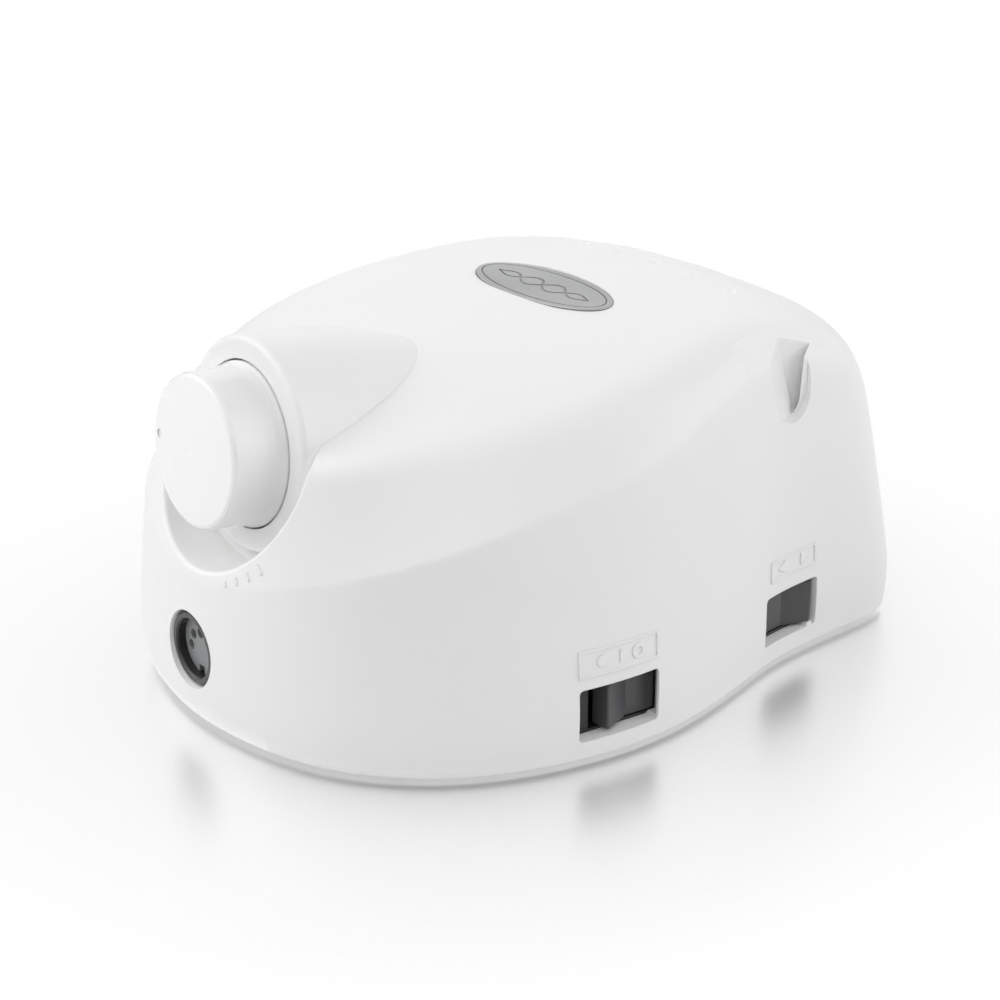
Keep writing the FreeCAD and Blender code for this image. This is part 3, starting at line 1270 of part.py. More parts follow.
def heat_sink():
    """upright plate with six fins towards +X"""
    sink_shape = on_board(13.0, -34.0, 0, 15.0, -10.0, 24.0)
    for k in range(6):
        sink_shape = sink_shape.fuse(
            on_board(15.0, -34.0 + 4.4 * k, 0, 24.0, -32.6 + 4.4 * k, 24.0))
    return sink_shape.removeSplitter()


def motor_triac():
    """case with a drilled tab against the heat sink, on three leads"""
    triac = on_board(8.5, -27.0, 3.0, 12.98, -17.0, 12.0).fuse(
        on_board(11.7, -27.0, 12.0, 12.98, -17.0, 18.0)).removeSplitter()
    triac = triac.cut(rod(1.7, 6, Vec(9.5, -22.0, BOARD_TOP + 15.3), X_AXIS))
    for k in (-1, 0, 1):
        triac = triac.fuse(on_board(10.4, -22.4 + 2.54 * k, 0, 10.9, -21.6 + 2.54 * k, 3.0))
    return triac


def control_chip():
    """chip with seven legs on each long side"""
    chip = on_board(-31.0, -29.5, 0.6, -27.4, -10.0, 3.6)
    chip = chip.makeChamfer(0.5, [
        edge for edge in chip.Edges
        if edge.BoundBox.YLength > 15 and edge.CenterOfMass.z > BOARD_TOP + 3])
    for k in range(7):
        for x in (-31.9, -27.4):
            chip = chip.fuse(on_board(x, -28.2 + 2.54 * k, 0, x + 0.9, -27.7 + 2.54 * k, 1.6))
    return chip.removeSplitter()


add_piece("heat_sink", heat_sink())
add_piece("motor_triac", motor_triac())
eased_block("Part::Chamfer", "reversing_relay", "relay_block", (19.0, 15.0, 14.5), 0.6,
            lambda edge: edge.CenterOfMass.z > 14.0, frame(-7.2, -11.5, BOARD_TOP))
add_piece("control_chip", control_chip())

# glass fuse in its clips, lying along Y
FUSE_X, FUSE_Y, FUSE_Z = 28.5, -5.0, BOARD_TOP + 4.6


def fuse_rod(radius, length, back):
    return rod(radius, length, Vec(FUSE_X, FUSE_Y - back, FUSE_Z), Y_AXIS)


def fuse_clip(y):
    clip = on_board(25.2, y, 0, 31.8, y + 3.8, 7.4)
    clip = clip.cut(on_board(26.6, y - 1, 4.6, 30.4, y + 5, 9))
    clip = clip.cut(rod(2.63, 8, Vec(FUSE_X, y - 2, FUSE_Z), Y_AXIS))
    return clip.cut(on_board(25.6, y - 1, 0.5, 25.85, y + 5, 1.0))


add_piece("fuse_glass", fuse_rod(2.35, 10.0, 13.0))
add_piece("fuse_caps", [fuse_rod(2.6, 5.0, 18.02), fuse_rod(2.6, 5.0, 2.98)])
add_piece("fuse_clips", [fuse_clip(FUSE_Y - 17.4), fuse_clip(FUSE_Y - 2.4)])

# wire headers with their plugs: low x, high x, from the number of ways
HEADERS = [(x, x + 2.5 * ways + 1.2) for x, ways in ((-27.0, 3), (-12.0, 5), (6.0, 3), (18.0, 3))]
add_piece("wire_headers", [
    on_board(x0, 4.2, 0, x1, 9.2, 6.8).cut(on_board(x0 + 0.7, 4.9, 1.2, x1 - 0.7, 8.5, 8))
    for x0, x1 in HEADERS])
add_piece("wire_plugs", [on_board(x0 + 0.8, 5.0, 1.3, x1 - 0.8, 8.4, 8.6) for x0, x1 in HEADERS])
add_piece("board_resistors", [
    rod(1.05, 5.0, Vec(-30.5 + 3.0 * k, -4.5, BOARD_TOP + 1.07), Y_AXIS) for k in range(2)] + [
    rod(1.05, 5.0, Vec(-12.5 + 6.4 * k, -35.6, BOARD_TOP + 1.07), X_AXIS) for k in range(3)])

# ------------------------------------------------------------------ wiring
PLUG_Y, PLUG_TOP = 6.7, BOARD_TOP + 8.62
WIRE_PITCH = 2.0


def wire(poles, radius=Size.wire_radius):
    """round lead swept along a smooth curve; the first and last legs set its end directions"""
    curve = Part.BSplineCurve()
    curve.buildFromPoles([Vec(*pole) for pole in poles], False, 3)
    start = curve.tangent(curve.FirstParameter)[0]
    profile = Part.Wire([Part.Circle(Vec(*poles[0]), start, radius).toShape()])
    return Part.Wire([curve.toShape()]).makePipeShell([profile], True, True)


def knob_wire(i):
    """from the -X plug up to a potentiometer terminal"""
    x = -27.0 + 2.2 + WIRE_PITCH * i
    end_x, end_z = (i - 1) * POT_PITCH, POT_FACE - 7.75
    end = KNOB_FRAME.multVec(Vec(end_x, -Size.pot_radius - 6.85, end_z))
    near = KNOB_FRAME.multVec(Vec(end_x, -Size.pot_radius - 12.5, end_z))
    return wire([(x, PLUG_Y, PLUG_TOP), (x, PLUG_Y, 30.0), (x + 2.0, 3.0, 37.0),
                 (-14.0 + 3.4 * i, -10.0, 38.0), (near.x - 1.0, near.y + 8.0, 34.5), near, end])


def socket_wire(i):
    """forwards under the barrel and down to a socket tail"""
    x = -12.0 + 2.3 + WIRE_PITCH * i
    pin_x, pin_y = PINS[i]
    z = SOCKET_Z + pin_y
    return wire([(x, PLUG_Y, PLUG_TOP), (x, PLUG_Y, 28.0), (x, 0.0, 31.0),
                 (-5.0 + 2.5 * i, -31.0, 31.0), (pin_x * 1.35, -38.0, 27.0),
                 (pin_x, -39.4, z), (pin_x, -61.2 + 18.06, z)])


def switch_ends(wall, offset, place):
    """points just behind a side switch terminal and further in; place is -1, 0 or 1"""
    tag_end = PIN_X - 15.5
    y = offset + 5.0 * place
    return wall.multVec(Vec(tag_end - 3.4, y, 0)), wall.multVec(Vec(tag_end - 0.05, y, 0))


def mode_wire(i):
    x = 18.0 + 2.2 + WIRE_PITCH * i
    near, end = switch_ends(MODE_WALL, MODE_OFFSET, i - 1)
    z = PLUG_TOP + 7.6 - 2.3 * i
    return wire([(x, PLUG_Y, PLUG_TOP), (x, PLUG_Y, z),
                 ((x + near.x) / 2, (PLUG_Y + near.y) / 2, z),
                 (near.x - 0.3, near.y, z - 2.0), near, end])


def direction_wire(i):
    x = 6.0 + 2.2 + WIRE_PITCH * i
    near, end = switch_ends(DIRECTION_WALL, DIRECTION_OFFSET, 1 - i)
    lane = 13.8 + 2.4 * i
    return wire([(x, PLUG_Y, PLUG_TOP), (x, PLUG_Y, PLUG_TOP + 5.0), (x + 4.5, 12.0, 25.0),
                 (lane, 24.0, 18.0), (lane, near.y - 6.0, 13.0),
                 (near.x - 3.0, near.y - 0.5, 11.6), near, end])


add_piece("knob_wires", [knob_wire(i) for i in range(3)])
add_piece("socket_wires", [socket_wire(i) for i in range(5)])
add_piece("mode_switch_wires", [mode_wire(i) for i in range(3)])
add_piece("direction_switch_wires", [direction_wire(i) for i in range(3)])

# mains leads: inlet pins to the primary winding, round the rear of the transformer
low_pin, high_pin = INLET_PINS
pin_end = REAR_SEAT - 20.55
winding_y = TRAFO_Y + HALF_STACK + 7.87
add_piece("mains_wires", [
    wire([(low_pin, pin_end, REAR_Z), (low_pin, 66.3, REAR_Z), (INLET_X - 6.0, 66.3, 29.0),
          (4.0, 66.5, 29.0), (-4.6, 67.5, 28.0), (-4.6, winding_y, 28.0)], 1.0),
    wire([(high_pin, pin_end, REAR_Z), (high_pin, 66.1, REAR_Z), (INLET_X + 3.0, 66.0, 33.4),
          (2.0, 66.4, 33.4), (-9.6, 68.2, 29.0), (-9.6, winding_y, 29.0)], 1.0)])

# ------------------------------------------------------------------ state check and export
doc.recompute()
failed = [obj.Name for obj in doc.Objects if "Invalid" in obj.State or "Error" in obj.State]
for piece in PIECES:
    shape = piece.Shape
    if shape.isNull() or not shape.isValid() or shape.Volume <= 0:
        failed.append(piece.Label)
if failed:
    raise RuntimeError("failed objects: %s" % failed)
os.makedirs("parts", exist_ok=True)
for piece in PIECES:
    piece.Shape.exportStep("parts/%s.step" % piece.Label)
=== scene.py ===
# Mains-powered control unit: speed knob, rockers, handpiece socket and five bur holes.
# It stands on z = 0 with +Z up. The row of bur holes runs along X on the +Y half of the
# top shell, and the knob recess lies at its -Y end. The pieces keep their CAD meshes;
# this script gives them materials and sets up the floor, the light and the camera.
import math
from functools import cached_property

import bmesh
import bpy
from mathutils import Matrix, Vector

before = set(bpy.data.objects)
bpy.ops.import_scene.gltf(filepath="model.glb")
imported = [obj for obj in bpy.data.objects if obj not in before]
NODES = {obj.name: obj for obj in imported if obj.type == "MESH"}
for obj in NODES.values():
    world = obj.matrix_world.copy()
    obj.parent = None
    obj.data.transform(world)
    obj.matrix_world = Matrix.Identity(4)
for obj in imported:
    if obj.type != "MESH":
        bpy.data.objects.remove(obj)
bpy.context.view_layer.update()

MM = 0.001  # one millimetre in metres

# bur holes and knob recess of the top shell, in metres
HOLE_COUNT = 5
HOLE_PITCH = 0.012
HOLE_ROW_Y = 0.04107
HOLE_RADIUS = 0.00134
HOLE_FLOOR_Z = 0.0618
RECESS_MAX_Y = -0.050
RECESS_HALF_WIDTH = 0.022
# painted light: glow on the walls of the bur holes and of the deepest knob recess walls
HOLE_PAINTED_LIGHT = 0.10    # emission strength of the hole walls
RECESS_PAINTED_LIGHT = 0.17  # emission strength of the deepest recess walls
RECESS_DEEPEST = 0.93  # walls with a greater depth factor stay dark

# floor and camera, in metres
FLOOR_SIZE = 40.0
FLOOR_CELLS = 8
AIM_Y = -17.13 * MM
CAMERA_AIM = Vector((0.0208, AIM_Y, 0.0399))
CAMERA_PLACE = Vector((0.34733, -0.24965 + AIM_Y, 0.20513))

WHITE = (1.0, 1.0, 1.0, 1.0)


# ---------------------------------------------------------------- node helpers
class Nodes:
    """Adds shader nodes to one emptied tree. Any value may be a number or a socket."""

    def __init__(self, tree):
        self.tree = tree
        tree.nodes.clear()

    def put(self, node, socket, value):
        if hasattr(value, "links"):
            self.tree.links.new(value, node.inputs[socket])
        else:
            node.inputs[socket].default_value = value

    def new(self, kind, inputs=None, **settings):
        """inputs: socket name or index to value; settings: properties of the node"""
        node = self.tree.nodes.new("ShaderNode" + kind)
        for name, value in settings.items():
            setattr(node, name, value)
        for socket, value in (inputs or {}).items():
            self.put(node, socket, value)
        return node

    def math(self, operation, first, second=None):
        inputs = {0: first} if second is None else {0: first, 1: second}
        return self.new("Math", inputs, operation=operation).outputs["Value"]

    def multiply(self, product, *factors):
        for factor in factors:
            product = self.math("MULTIPLY", product, factor)
        return product

    def inverse(self, value):
        return self.math("SUBTRACT", 1.0, value)

    def dot(self, first, second):
        node = self.new("VectorMath", {0: first, 1: second}, operation="DOT_PRODUCT")
        return node.outputs["Value"]

    def ramp(self, value, low, high, start=0.0, end=1.0):
        """maps low..high onto start..end, clamped"""
        inputs = {"Value": value, "From Min": low, "From Max": high,
                  "To Min": start, "To Max": end}
        return self.new("MapRange", inputs, clamp=True).outputs["Result"]

    def light_path(self, ray):
        return self.new("LightPath").outputs[ray]

    def mix_shader(self, factor, first, second):
        return self.new("MixShader", {"Fac": factor, 1: first, 2: second}).outputs["Shader"]


class Shader(Nodes):
    """A new material with a principled surface; normal is the bump chain so far."""

    def __init__(self, name):
        self.material = bpy.data.materials.new(name)
        self.material.use_nodes = True
        super().__init__(self.material.node_tree)
        self.output = self.new("OutputMaterial")
        self.surface = self.new("BsdfPrincipled")
        self.put(self.output, "Surface", self.surface.outputs["BSDF"])
        self.coord = self.new("TexCoord").outputs["Object"]
        self.normal = None

    @cached_property
    def face_normal(self):
        return self.new("NewGeometry").outputs["Normal"]

    def stretched(self, scale, rotation=None):
        """object coordinates scaled per axis"""
        inputs = {"Vector": self.coord, "Scale": scale}
        if rotation:
            inputs["Rotation"] = rotation
        return self.new("Mapping", inputs).outputs["Vector"]

    def noise(self, scale, detail=3.0, rough=0.5, vector=None, distortion=0.0):
        inputs = {"Vector": vector or self.coord, "Scale": scale, "Detail": detail,
                  "Roughness": rough, "Distortion": distortion}
        return self.new("TexNoise", inputs).outputs["Fac"]

    def voronoi(self, scale):
        inputs = {"Vector": self.coord, "Scale": scale}
        return self.new("TexVoronoi", inputs).outputs["Distance"]

    def wave(self, scale, axis, distortion, profile="SIN"):
        inputs = {"Vector": self.coord, "Scale": scale, "Distortion": distortion}
        node = self.new("TexWave", inputs, bands_direction=axis, wave_profile=profile)
        return node.outputs["Fac"]

    def mix(self, factor, first, second):
        """blends two colours, each an RGB triple or a socket"""
        first, second = (c if hasattr(c, "links") else (*c, 1.0) for c in (first, second))
        return self.new("Mix", {0: factor, 6: first, 7: second}, data_type="RGBA").outputs[2]

    def bevel(self, radius):
        return self.new("Bevel", {"Radius": radius}, samples=6).outputs["Normal"]

    def edge_mask(self, radius):
        """1 on outer and inner edges, 0 on open faces"""
        facing = self.dot(self.bevel(radius), self.face_normal)
        return self.ramp(self.inverse(facing), low=0.02, high=0.25)

    def openness(self, distance, samples=6):
        """1 in the open, towards 0 in corners and holes"""
        node = self.new("AmbientOcclusion", {"Distance": distance}, samples=samples)
        return node.outputs["AO"]

    def corners(self, distance, low, high):
        """1 deep in corners, 0 in the open"""
        return self.inverse(self.ramp(self.openness(distance), low, high))

    def round_edges(self, radius):
        self.normal = self.bevel(radius)

    def bump(self, height, strength, depth):
        """adds one layer of relief on top of the earlier ones"""
        inputs = {"Strength": strength, "Distance": depth, "Height": height}
        if self.normal is not None:
            inputs["Normal"] = self.normal
        self.normal = self.new("Bump", inputs).outputs["Normal"]

    def finish(self, colour, rough, others=None):
        """connects the surface; others: further principled inputs"""
        inputs = {"Base Color": colour, "Roughness": rough, **(others or {})}
        if self.normal is not None:
            inputs["Normal"] = self.normal
        for socket, value in inputs.items():
            self.put(self.surface, socket, value)
        return self


def tone(colour, factor):
    return tuple(min(1.0, channel * factor) for channel in colour)


# ---------------------------------------------------------------- plastics
def moulded(name, base, rough, grain=0.12, grain_size=0.30, mottle=0.03, coat=0.0,
            coat_rough=0.1, edge_wear_highlight=0.25, edge_wear_highlight_tone=1.25, bevel=0.25, scuff=0.0, dust=0.0,
            subsurface=0.0):
    """Injection moulded plastic: spark texture, flow marks, soft edges, handling marks and worn
    edges that also carry a painted edge highlight.

    grain_size and bevel are in millimetres; edge_wear_highlight_tone scales the colour of the
    worn edges, lightened partly by wear and partly as a painted highlight.
    """
    g = Shader(name)
    flow = g.noise(scale=28.0, detail=4.0, rough=0.55, vector=g.stretched((1.0, 0.45, 1.3)))
    colour = g.mix(g.ramp(flow, low=0.3, high=0.7),
                   tone(base, 1.0 - mottle), tone(base, 1.0 + mottle * 0.5))
    cloud = g.noise(scale=60.0, detail=5.0, rough=0.6)
    gloss = g.ramp(cloud, low=0.3, high=0.7, start=rough - 0.03, end=rough + 0.035)
    if scuff:
        streaks = g.noise(scale=170.0, detail=6.0, rough=0.7, distortion=0.6,
                          vector=g.stretched((1.0, 9.0, 9.0), rotation=(0.3, 0.5, 0.9)))
        hair = g.ramp(streaks, low=0.66, high=0.70)
        gloss = g.math("ADD", gloss, g.multiply(hair, scuff))
        # scratches show light on dark plastic and dark on light plastic
        scratched = tone(base, 1.2 if sum(base) < 1 else 0.93)
        colour = g.mix(g.multiply(hair, scuff * 0.35), colour, scratched)
    # worn edges: lighter partly as wear and partly as a painted edge highlight
    if edge_wear_highlight:
        patches = g.noise(scale=420.0, detail=4.0, rough=0.6)
        worn_and_highlit_edges = g.multiply(g.edge_mask(0.35 * MM),
                          g.ramp(patches, low=0.38, high=0.66, start=0.15), edge_wear_highlight)
        colour = g.mix(worn_and_highlit_edges, colour, tone(base, edge_wear_highlight_tone))
    if dust:
        up = g.new("SeparateXYZ", {"Vector": g.face_normal}).outputs["Z"]
        specks = g.noise(scale=900.0, detail=3.0, rough=0.7)
        dusty = g.multiply(g.ramp(up, low=0.2, high=0.95),
                           g.ramp(specks, low=0.60, high=0.72), dust)
        colour = g.mix(dusty, colour, (0.62, 0.61, 0.59))
        gloss = g.math("ADD", gloss, g.multiply(dusty, 0.25))
    others = {"IOR": 1.49, "Coat Weight": coat, "Coat Roughness": coat_rough}
    if subsurface:
        others.update({"Subsurface Weight": subsurface, "Subsurface Radius": (1.2, 1.1, 1.0),
                       "Subsurface Scale": 0.0012})
    if bevel:
        g.round_edges(bevel * MM)
    fine = g.noise(scale=1.0 / (grain_size * MM), detail=2.0, rough=0.6)
    g.bump(fine, strength=grain, depth=0.05 * MM)
    g.bump(g.voronoi(scale=0.55 / (grain_size * MM)), strength=grain * 0.5, depth=0.04 * MM)
    g.bump(g.noise(scale=90.0, detail=2.0), strength=0.05, depth=0.5 * MM)
    return g.finish(colour, gloss, others)


SHADERS = {
    "shell": moulded("shell_plastic", base=(0.78, 0.78, 0.778), rough=0.36, grain=0.10,
                     grain_size=0.28, mottle=0.012, edge_wear_highlight=0.10, edge_wear_highlight_tone=1.05, bevel=0.30,
                     scuff=0.03, dust=0.05, subsurface=0.12),
    "knob": moulded("knob_plastic", base=(0.80, 0.80, 0.798), rough=0.17, grain=0.02,
                    grain_size=0.5, mottle=0.008, edge_wear_highlight=0.06, edge_wear_highlight_tone=1.05, scuff=0.06,
                    coat=0.25, coat_rough=0.06, subsurface=0.10),
    "base": moulded("base_plastic", base=(0.80, 0.80, 0.79), rough=0.52, grain=0.35,
                    grain_size=0.45, mottle=0.02, edge_wear_highlight=0.10, edge_wear_highlight_tone=1.05, bevel=0.3,
                    scuff=0.05),
    "rocker": moulded("rocker_grey", base=(0.060, 0.061, 0.064), rough=0.36, grain=0.16,
                      grain_size=0.22, mottle=0.06, edge_wear_highlight=0.35, edge_wear_highlight_tone=2.0, bevel=0.30,
                      scuff=0.10, dust=0.10),
    "switch": moulded("switch_black", base=(0.016, 0.016, 0.018), rough=0.34, grain=0.14,
                      grain_size=0.25, mottle=0.08, edge_wear_highlight=0.3, edge_wear_highlight_tone=2.4, scuff=0.08,
                      dust=0.06),
    "socket": moulded("socket_black", base=(0.024, 0.024, 0.026), rough=0.28, grain=0.08,
                      grain_size=0.25, mottle=0.08, edge_wear_highlight=0.35, edge_wear_highlight_tone=3.0, bevel=0.2,
                      scuff=0.08),
    "insulator": moulded("insulator_grey", base=(0.24, 0.245, 0.25), rough=0.46, grain=0.20,
                         grain_size=0.20, mottle=0.06, edge_wear_highlight_tone=1.5, bevel=0.12, scuff=0.05),
    "epoxy": moulded("component_black", base=(0.022, 0.022, 0.024), rough=0.50, grain=0.35,
                     grain_size=0.20, mottle=0.10, edge_wear_highlight=0.3, edge_wear_highlight_tone=1.9, bevel=0.12,
                     dust=0.12),
    "relay": moulded("relay_blue", base=(0.035, 0.11, 0.33), rough=0.28, grain=0.06,
                     mottle=0.05, edge_wear_highlight_tone=1.4, dust=0.10),
    "nylon": moulded("header_nylon", base=(0.74, 0.71, 0.62), rough=0.42, mottle=0.04,
                     edge_wear_highlight=0.15, edge_wear_highlight_tone=1.15, bevel=0.2, subsurface=0.15),
    "bobbin": moulded("bobbin_nylon", base=(0.66, 0.62, 0.50), rough=0.44, grain=0.14,
                      mottle=0.05, edge_wear_highlight=0.15, edge_wear_highlight_tone=1.15, bevel=0.2, subsurface=0.12),
    "sleeve": moulded("capacitor_sleeve", base=(0.030, 0.038, 0.080), rough=0.22, grain=0.05,
                      mottle=0.08, edge_wear_highlight=0.15, edge_wear_highlight_tone=1.6, bevel=0.3),
    "resistor": moulded("resistor_body", base=(0.46, 0.33, 0.19), rough=0.30, grain=0.08,
                        mottle=0.08, edge_wear_highlight=0.0, bevel=0.2),
}
WIRE_COLOURS = {
    "wire_black": (0.018, 0.018, 0.018), "wire_red": (0.42, 0.02, 0.018),
    "wire_blue": (0.02, 0.06, 0.32), "wire_grey": (0.22, 0.22, 0.23),
}
for wire, wire_colour in WIRE_COLOURS.items():
    SHADERS[wire] = moulded(wire, base=wire_colour, rough=0.33, grain=0.10, grain_size=0.15,
                            mottle=0.10, edge_wear_highlight=0.0, bevel=0.0, dust=0.10)


# ---------------------------------------------------------------- metals
def metal(name, base, rough, brush=None, pits=0.0, tarnish=0.12):
    """Metal darker in the corners, with a painted highlight along the edges.

    brush: noise scale along x, y and z of a drawn finish; without it the finish is even.
    """
    g = Shader(name)
    stain = g.noise(scale=150.0, detail=6.0, rough=0.65)
    colour = g.mix(g.ramp(stain, low=0.35, high=0.68),
                   tone(base, 1.0 + tarnish * 0.3), tone(base, 1.0 - tarnish))
    if brush:
        lines = g.noise(scale=1.0, detail=4.0, rough=0.7, vector=g.stretched(brush))
    else:
        lines = g.noise(scale=2400.0, detail=3.0, rough=0.6)
    gloss = g.ramp(lines, low=0.25, high=0.75, start=rough - 0.0525, end=rough + 0.105)
    gloss = g.math("ADD", gloss, g.multiply(g.ramp(stain, low=0.4, high=0.7), 0.12))
    # painted highlight along the edges
    colour = g.mix(g.multiply(g.edge_mask(0.25 * MM), 0.35), colour, tone(base, 1.25))
    # darker towards the corners
    dark = g.multiply(g.corners(2.0 * MM, low=0.35, high=0.9), 0.5)
    colour = g.mix(dark, colour, tone(base, 0.35))
    g.round_edges(0.15 * MM)
    g.bump(lines, strength=0.18, depth=0.02 * MM)
    if pits:
        g.bump(g.noise(scale=700.0, detail=5.0, rough=0.7), strength=pits, depth=0.08 * MM)
    return g.finish(colour, gloss, {"Metallic": 1.0})


SHADERS.update({
    "steel": metal("screw_steel", base=(0.56, 0.56, 0.57), rough=0.30, pits=0.10),
    "zinc": metal("strap_steel", base=(0.60, 0.60, 0.57), rough=0.36,
                  brush=(300.0, 2600.0, 300.0), pits=0.12, tarnish=0.22),
    "nickel": metal("nickel_plate", base=(0.70, 0.68, 0.64), rough=0.20, pits=0.05),
    "tin": metal("tinned_brass", base=(0.72, 0.66, 0.50), rough=0.30, pits=0.12,
                 tarnish=0.30),
    "aluminium": metal("sink_aluminium", base=(0.62, 0.63, 0.64), rough=0.36,
                       brush=(400.0, 400.0, 2600.0), tarnish=0.10),
})


# ---------------------------------------------------------------- painted light and shade by depth in the shell and socket
def paint_light_and_shade_by_depth(g, distance, far, low, high):
    """painted light and shade: walls deep in holes and corners drift towards the colour far;
    returns the depth
    """
    near = g.surface.inputs["Base Color"].links[0].from_socket
    depth = g.ramp(g.openness(distance), low, high, start=1.0, end=0.0)
    g.put(g.surface, "Base Color", g.mix(depth, near, far))
    return depth


def paint_light_in_holes(g, depth):
    """painted light: the walls of the bur holes and of the deep knob recess glow, standing in
    for light that falls into them
    """
    place = g.new("NewGeometry").outputs["Position"]
    x, y, z = g.new("SeparateXYZ", {"Vector": place}).outputs
    nearest = g.multiply(g.math("ROUND", g.math("DIVIDE", x, HOLE_PITCH)), HOLE_PITCH)
    from_x = g.math("SUBTRACT", x, nearest)
    from_y = g.math("SUBTRACT", y, HOLE_ROW_Y)
    square = g.math("ADD", g.multiply(from_x, from_x), g.multiply(from_y, from_y))
    holes = g.multiply(
        g.math("LESS_THAN", g.math("SQRT", square), HOLE_RADIUS),
        g.math("GREATER_THAN", z, HOLE_FLOOR_Z),
        g.math("LESS_THAN", g.math("ABSOLUTE", x), HOLE_COUNT * HOLE_PITCH / 2))
    recess = g.multiply(
        g.math("LESS_THAN", y, RECESS_MAX_Y),
        g.math("LESS_THAN", g.math("ABSOLUTE", x), RECESS_HALF_WIDTH),
        g.multiply(depth, RECESS_PAINTED_LIGHT),
        g.math("LESS_THAN", depth, RECESS_DEEPEST))
    # painted light: emission on the hole and recess walls
    g.put(g.surface, "Emission Color", WHITE)
    g.put(g.surface, "Emission Strength", g.math("ADD", g.multiply(holes, HOLE_PAINTED_LIGHT), recess))


# painted light: the deep shell walls are lightened; painted shade: the deep socket walls are
# darkened
shell_depth = paint_light_and_shade_by_depth(SHADERS["shell"], distance=9.0 * MM, far=(0.93, 0.93, 0.928),
                             low=0.15, high=0.75)
paint_light_and_shade_by_depth(SHADERS["socket"], distance=4.0 * MM, far=(0.010, 0.010, 0.011),
               low=0.35, high=0.85)
paint_light_in_holes(SHADERS["shell"], shell_depth)


# ---------------------------------------------------------------- other materials
def rubber():
    """matt black rubber with pale dust"""
    g = Shader("foot_rubber")
    cloud = g.noise(scale=220.0, detail=5.0, rough=0.6)
    colour = g.mix(g.ramp(cloud, low=0.35, high=0.7),
                   (0.020, 0.020, 0.020), (0.045, 0.044, 0.042))
    specks = g.noise(scale=1300.0, detail=4.0, rough=0.7)
    colour = g.mix(g.ramp(specks, low=0.55, high=0.75, end=0.35), colour, (0.20, 0.19, 0.18))
    gloss = g.ramp(g.noise(scale=500.0, detail=3.0, rough=0.6),
                   low=0.3, high=0.7, start=0.72, end=0.9)
    g.round_edges(0.3 * MM)
    g.bump(g.noise(scale=1800.0, detail=4.0, rough=0.7), strength=0.35, depth=0.08 * MM)
    return g.finish(colour, gloss, {"Specular IOR Level": 0.35})


def badge():
    """grey anodised plate: fine brushing along x, painted shade in the grooves, painted
    highlight on the soft edge
    """
    g = Shader("badge_metal")
    lines = g.noise(scale=1.0, detail=5.0, rough=0.75,
                    vector=g.stretched((90.0, 5200.0, 900.0)))
    cloud = g.noise(scale=110.0, detail=4.0, rough=0.6)
    colour = g.mix(g.ramp(cloud, low=0.3, high=0.7),
                   (0.378, 0.381, 0.385), (0.430, 0.433, 0.437))
    colour = g.mix(g.ramp(lines, low=0.35, high=0.7, end=0.35), colour, (0.52, 0.525, 0.53))
    # painted shade in the grooves
    groove_shade = g.multiply(g.corners(0.6 * MM, low=0.45, high=0.92), 0.85)
    colour = g.mix(groove_shade, colour, (0.15, 0.15, 0.155))
    # painted highlight along the edge
    colour = g.mix(g.multiply(g.edge_mask(0.2 * MM), 0.45), colour, (0.74, 0.74, 0.75))
    g.round_edges(0.12 * MM)
    g.bump(lines, strength=0.10, depth=0.02 * MM)
    gloss = g.ramp(lines, low=0.3, high=0.7, start=0.34, end=0.50)
    return g.finish(colour, gloss, {"Metallic": 0.55, "Anisotropic": 0.3})


def laminations():
    """stacked varnished sheets: bands along y, a little rust"""
    g = Shader("core_steel")
    band = g.wave(scale=320.0, axis="Y", distortion=0.4)
    rust = g.noise(scale=260.0, detail=7.0, rough=0.7)
    colour = g.mix(band, (0.085, 0.086, 0.090), (0.155, 0.155, 0.158))
    colour = g.mix(g.ramp(rust, low=0.56, high=0.72, end=0.7), colour, (0.21, 0.10, 0.045))
    g.round_edges(0.2 * MM)
    g.bump(band, strength=0.55, depth=0.12 * MM)
    g.bump(rust, strength=0.2, depth=0.1 * MM)
    gloss = g.ramp(rust, low=0.4, high=0.7, start=0.42, end=0.75)
    return g.finish(colour, gloss, {"Metallic": 0.55})


def tape():
    """insulating tape over a winding: overlapping turns and wrinkles"""
    g = Shader("winding_tape")
    lap = g.wave(scale=95.0, axis="Z", distortion=1.2, profile="SAW")
    wrinkle = g.noise(scale=240.0, detail=6.0, rough=0.6, vector=g.stretched((1.0, 1.0, 5.0)))
    colour = g.mix(g.ramp(wrinkle, low=0.3, high=0.7), (0.62, 0.36, 0.04), (0.80, 0.52, 0.09))
    seam = g.ramp(lap, low=0.0, high=0.12, start=0.5, end=0.0)
    colour = g.mix(seam, colour, (0.36, 0.20, 0.02))
    g.bump(lap, strength=0.5, depth=0.10 * MM)
    g.bump(wrinkle, strength=0.25, depth=0.15 * MM)
    return g.finish(colour, g.ramp(wrinkle, low=0.3, high=0.7, start=0.22, end=0.40))


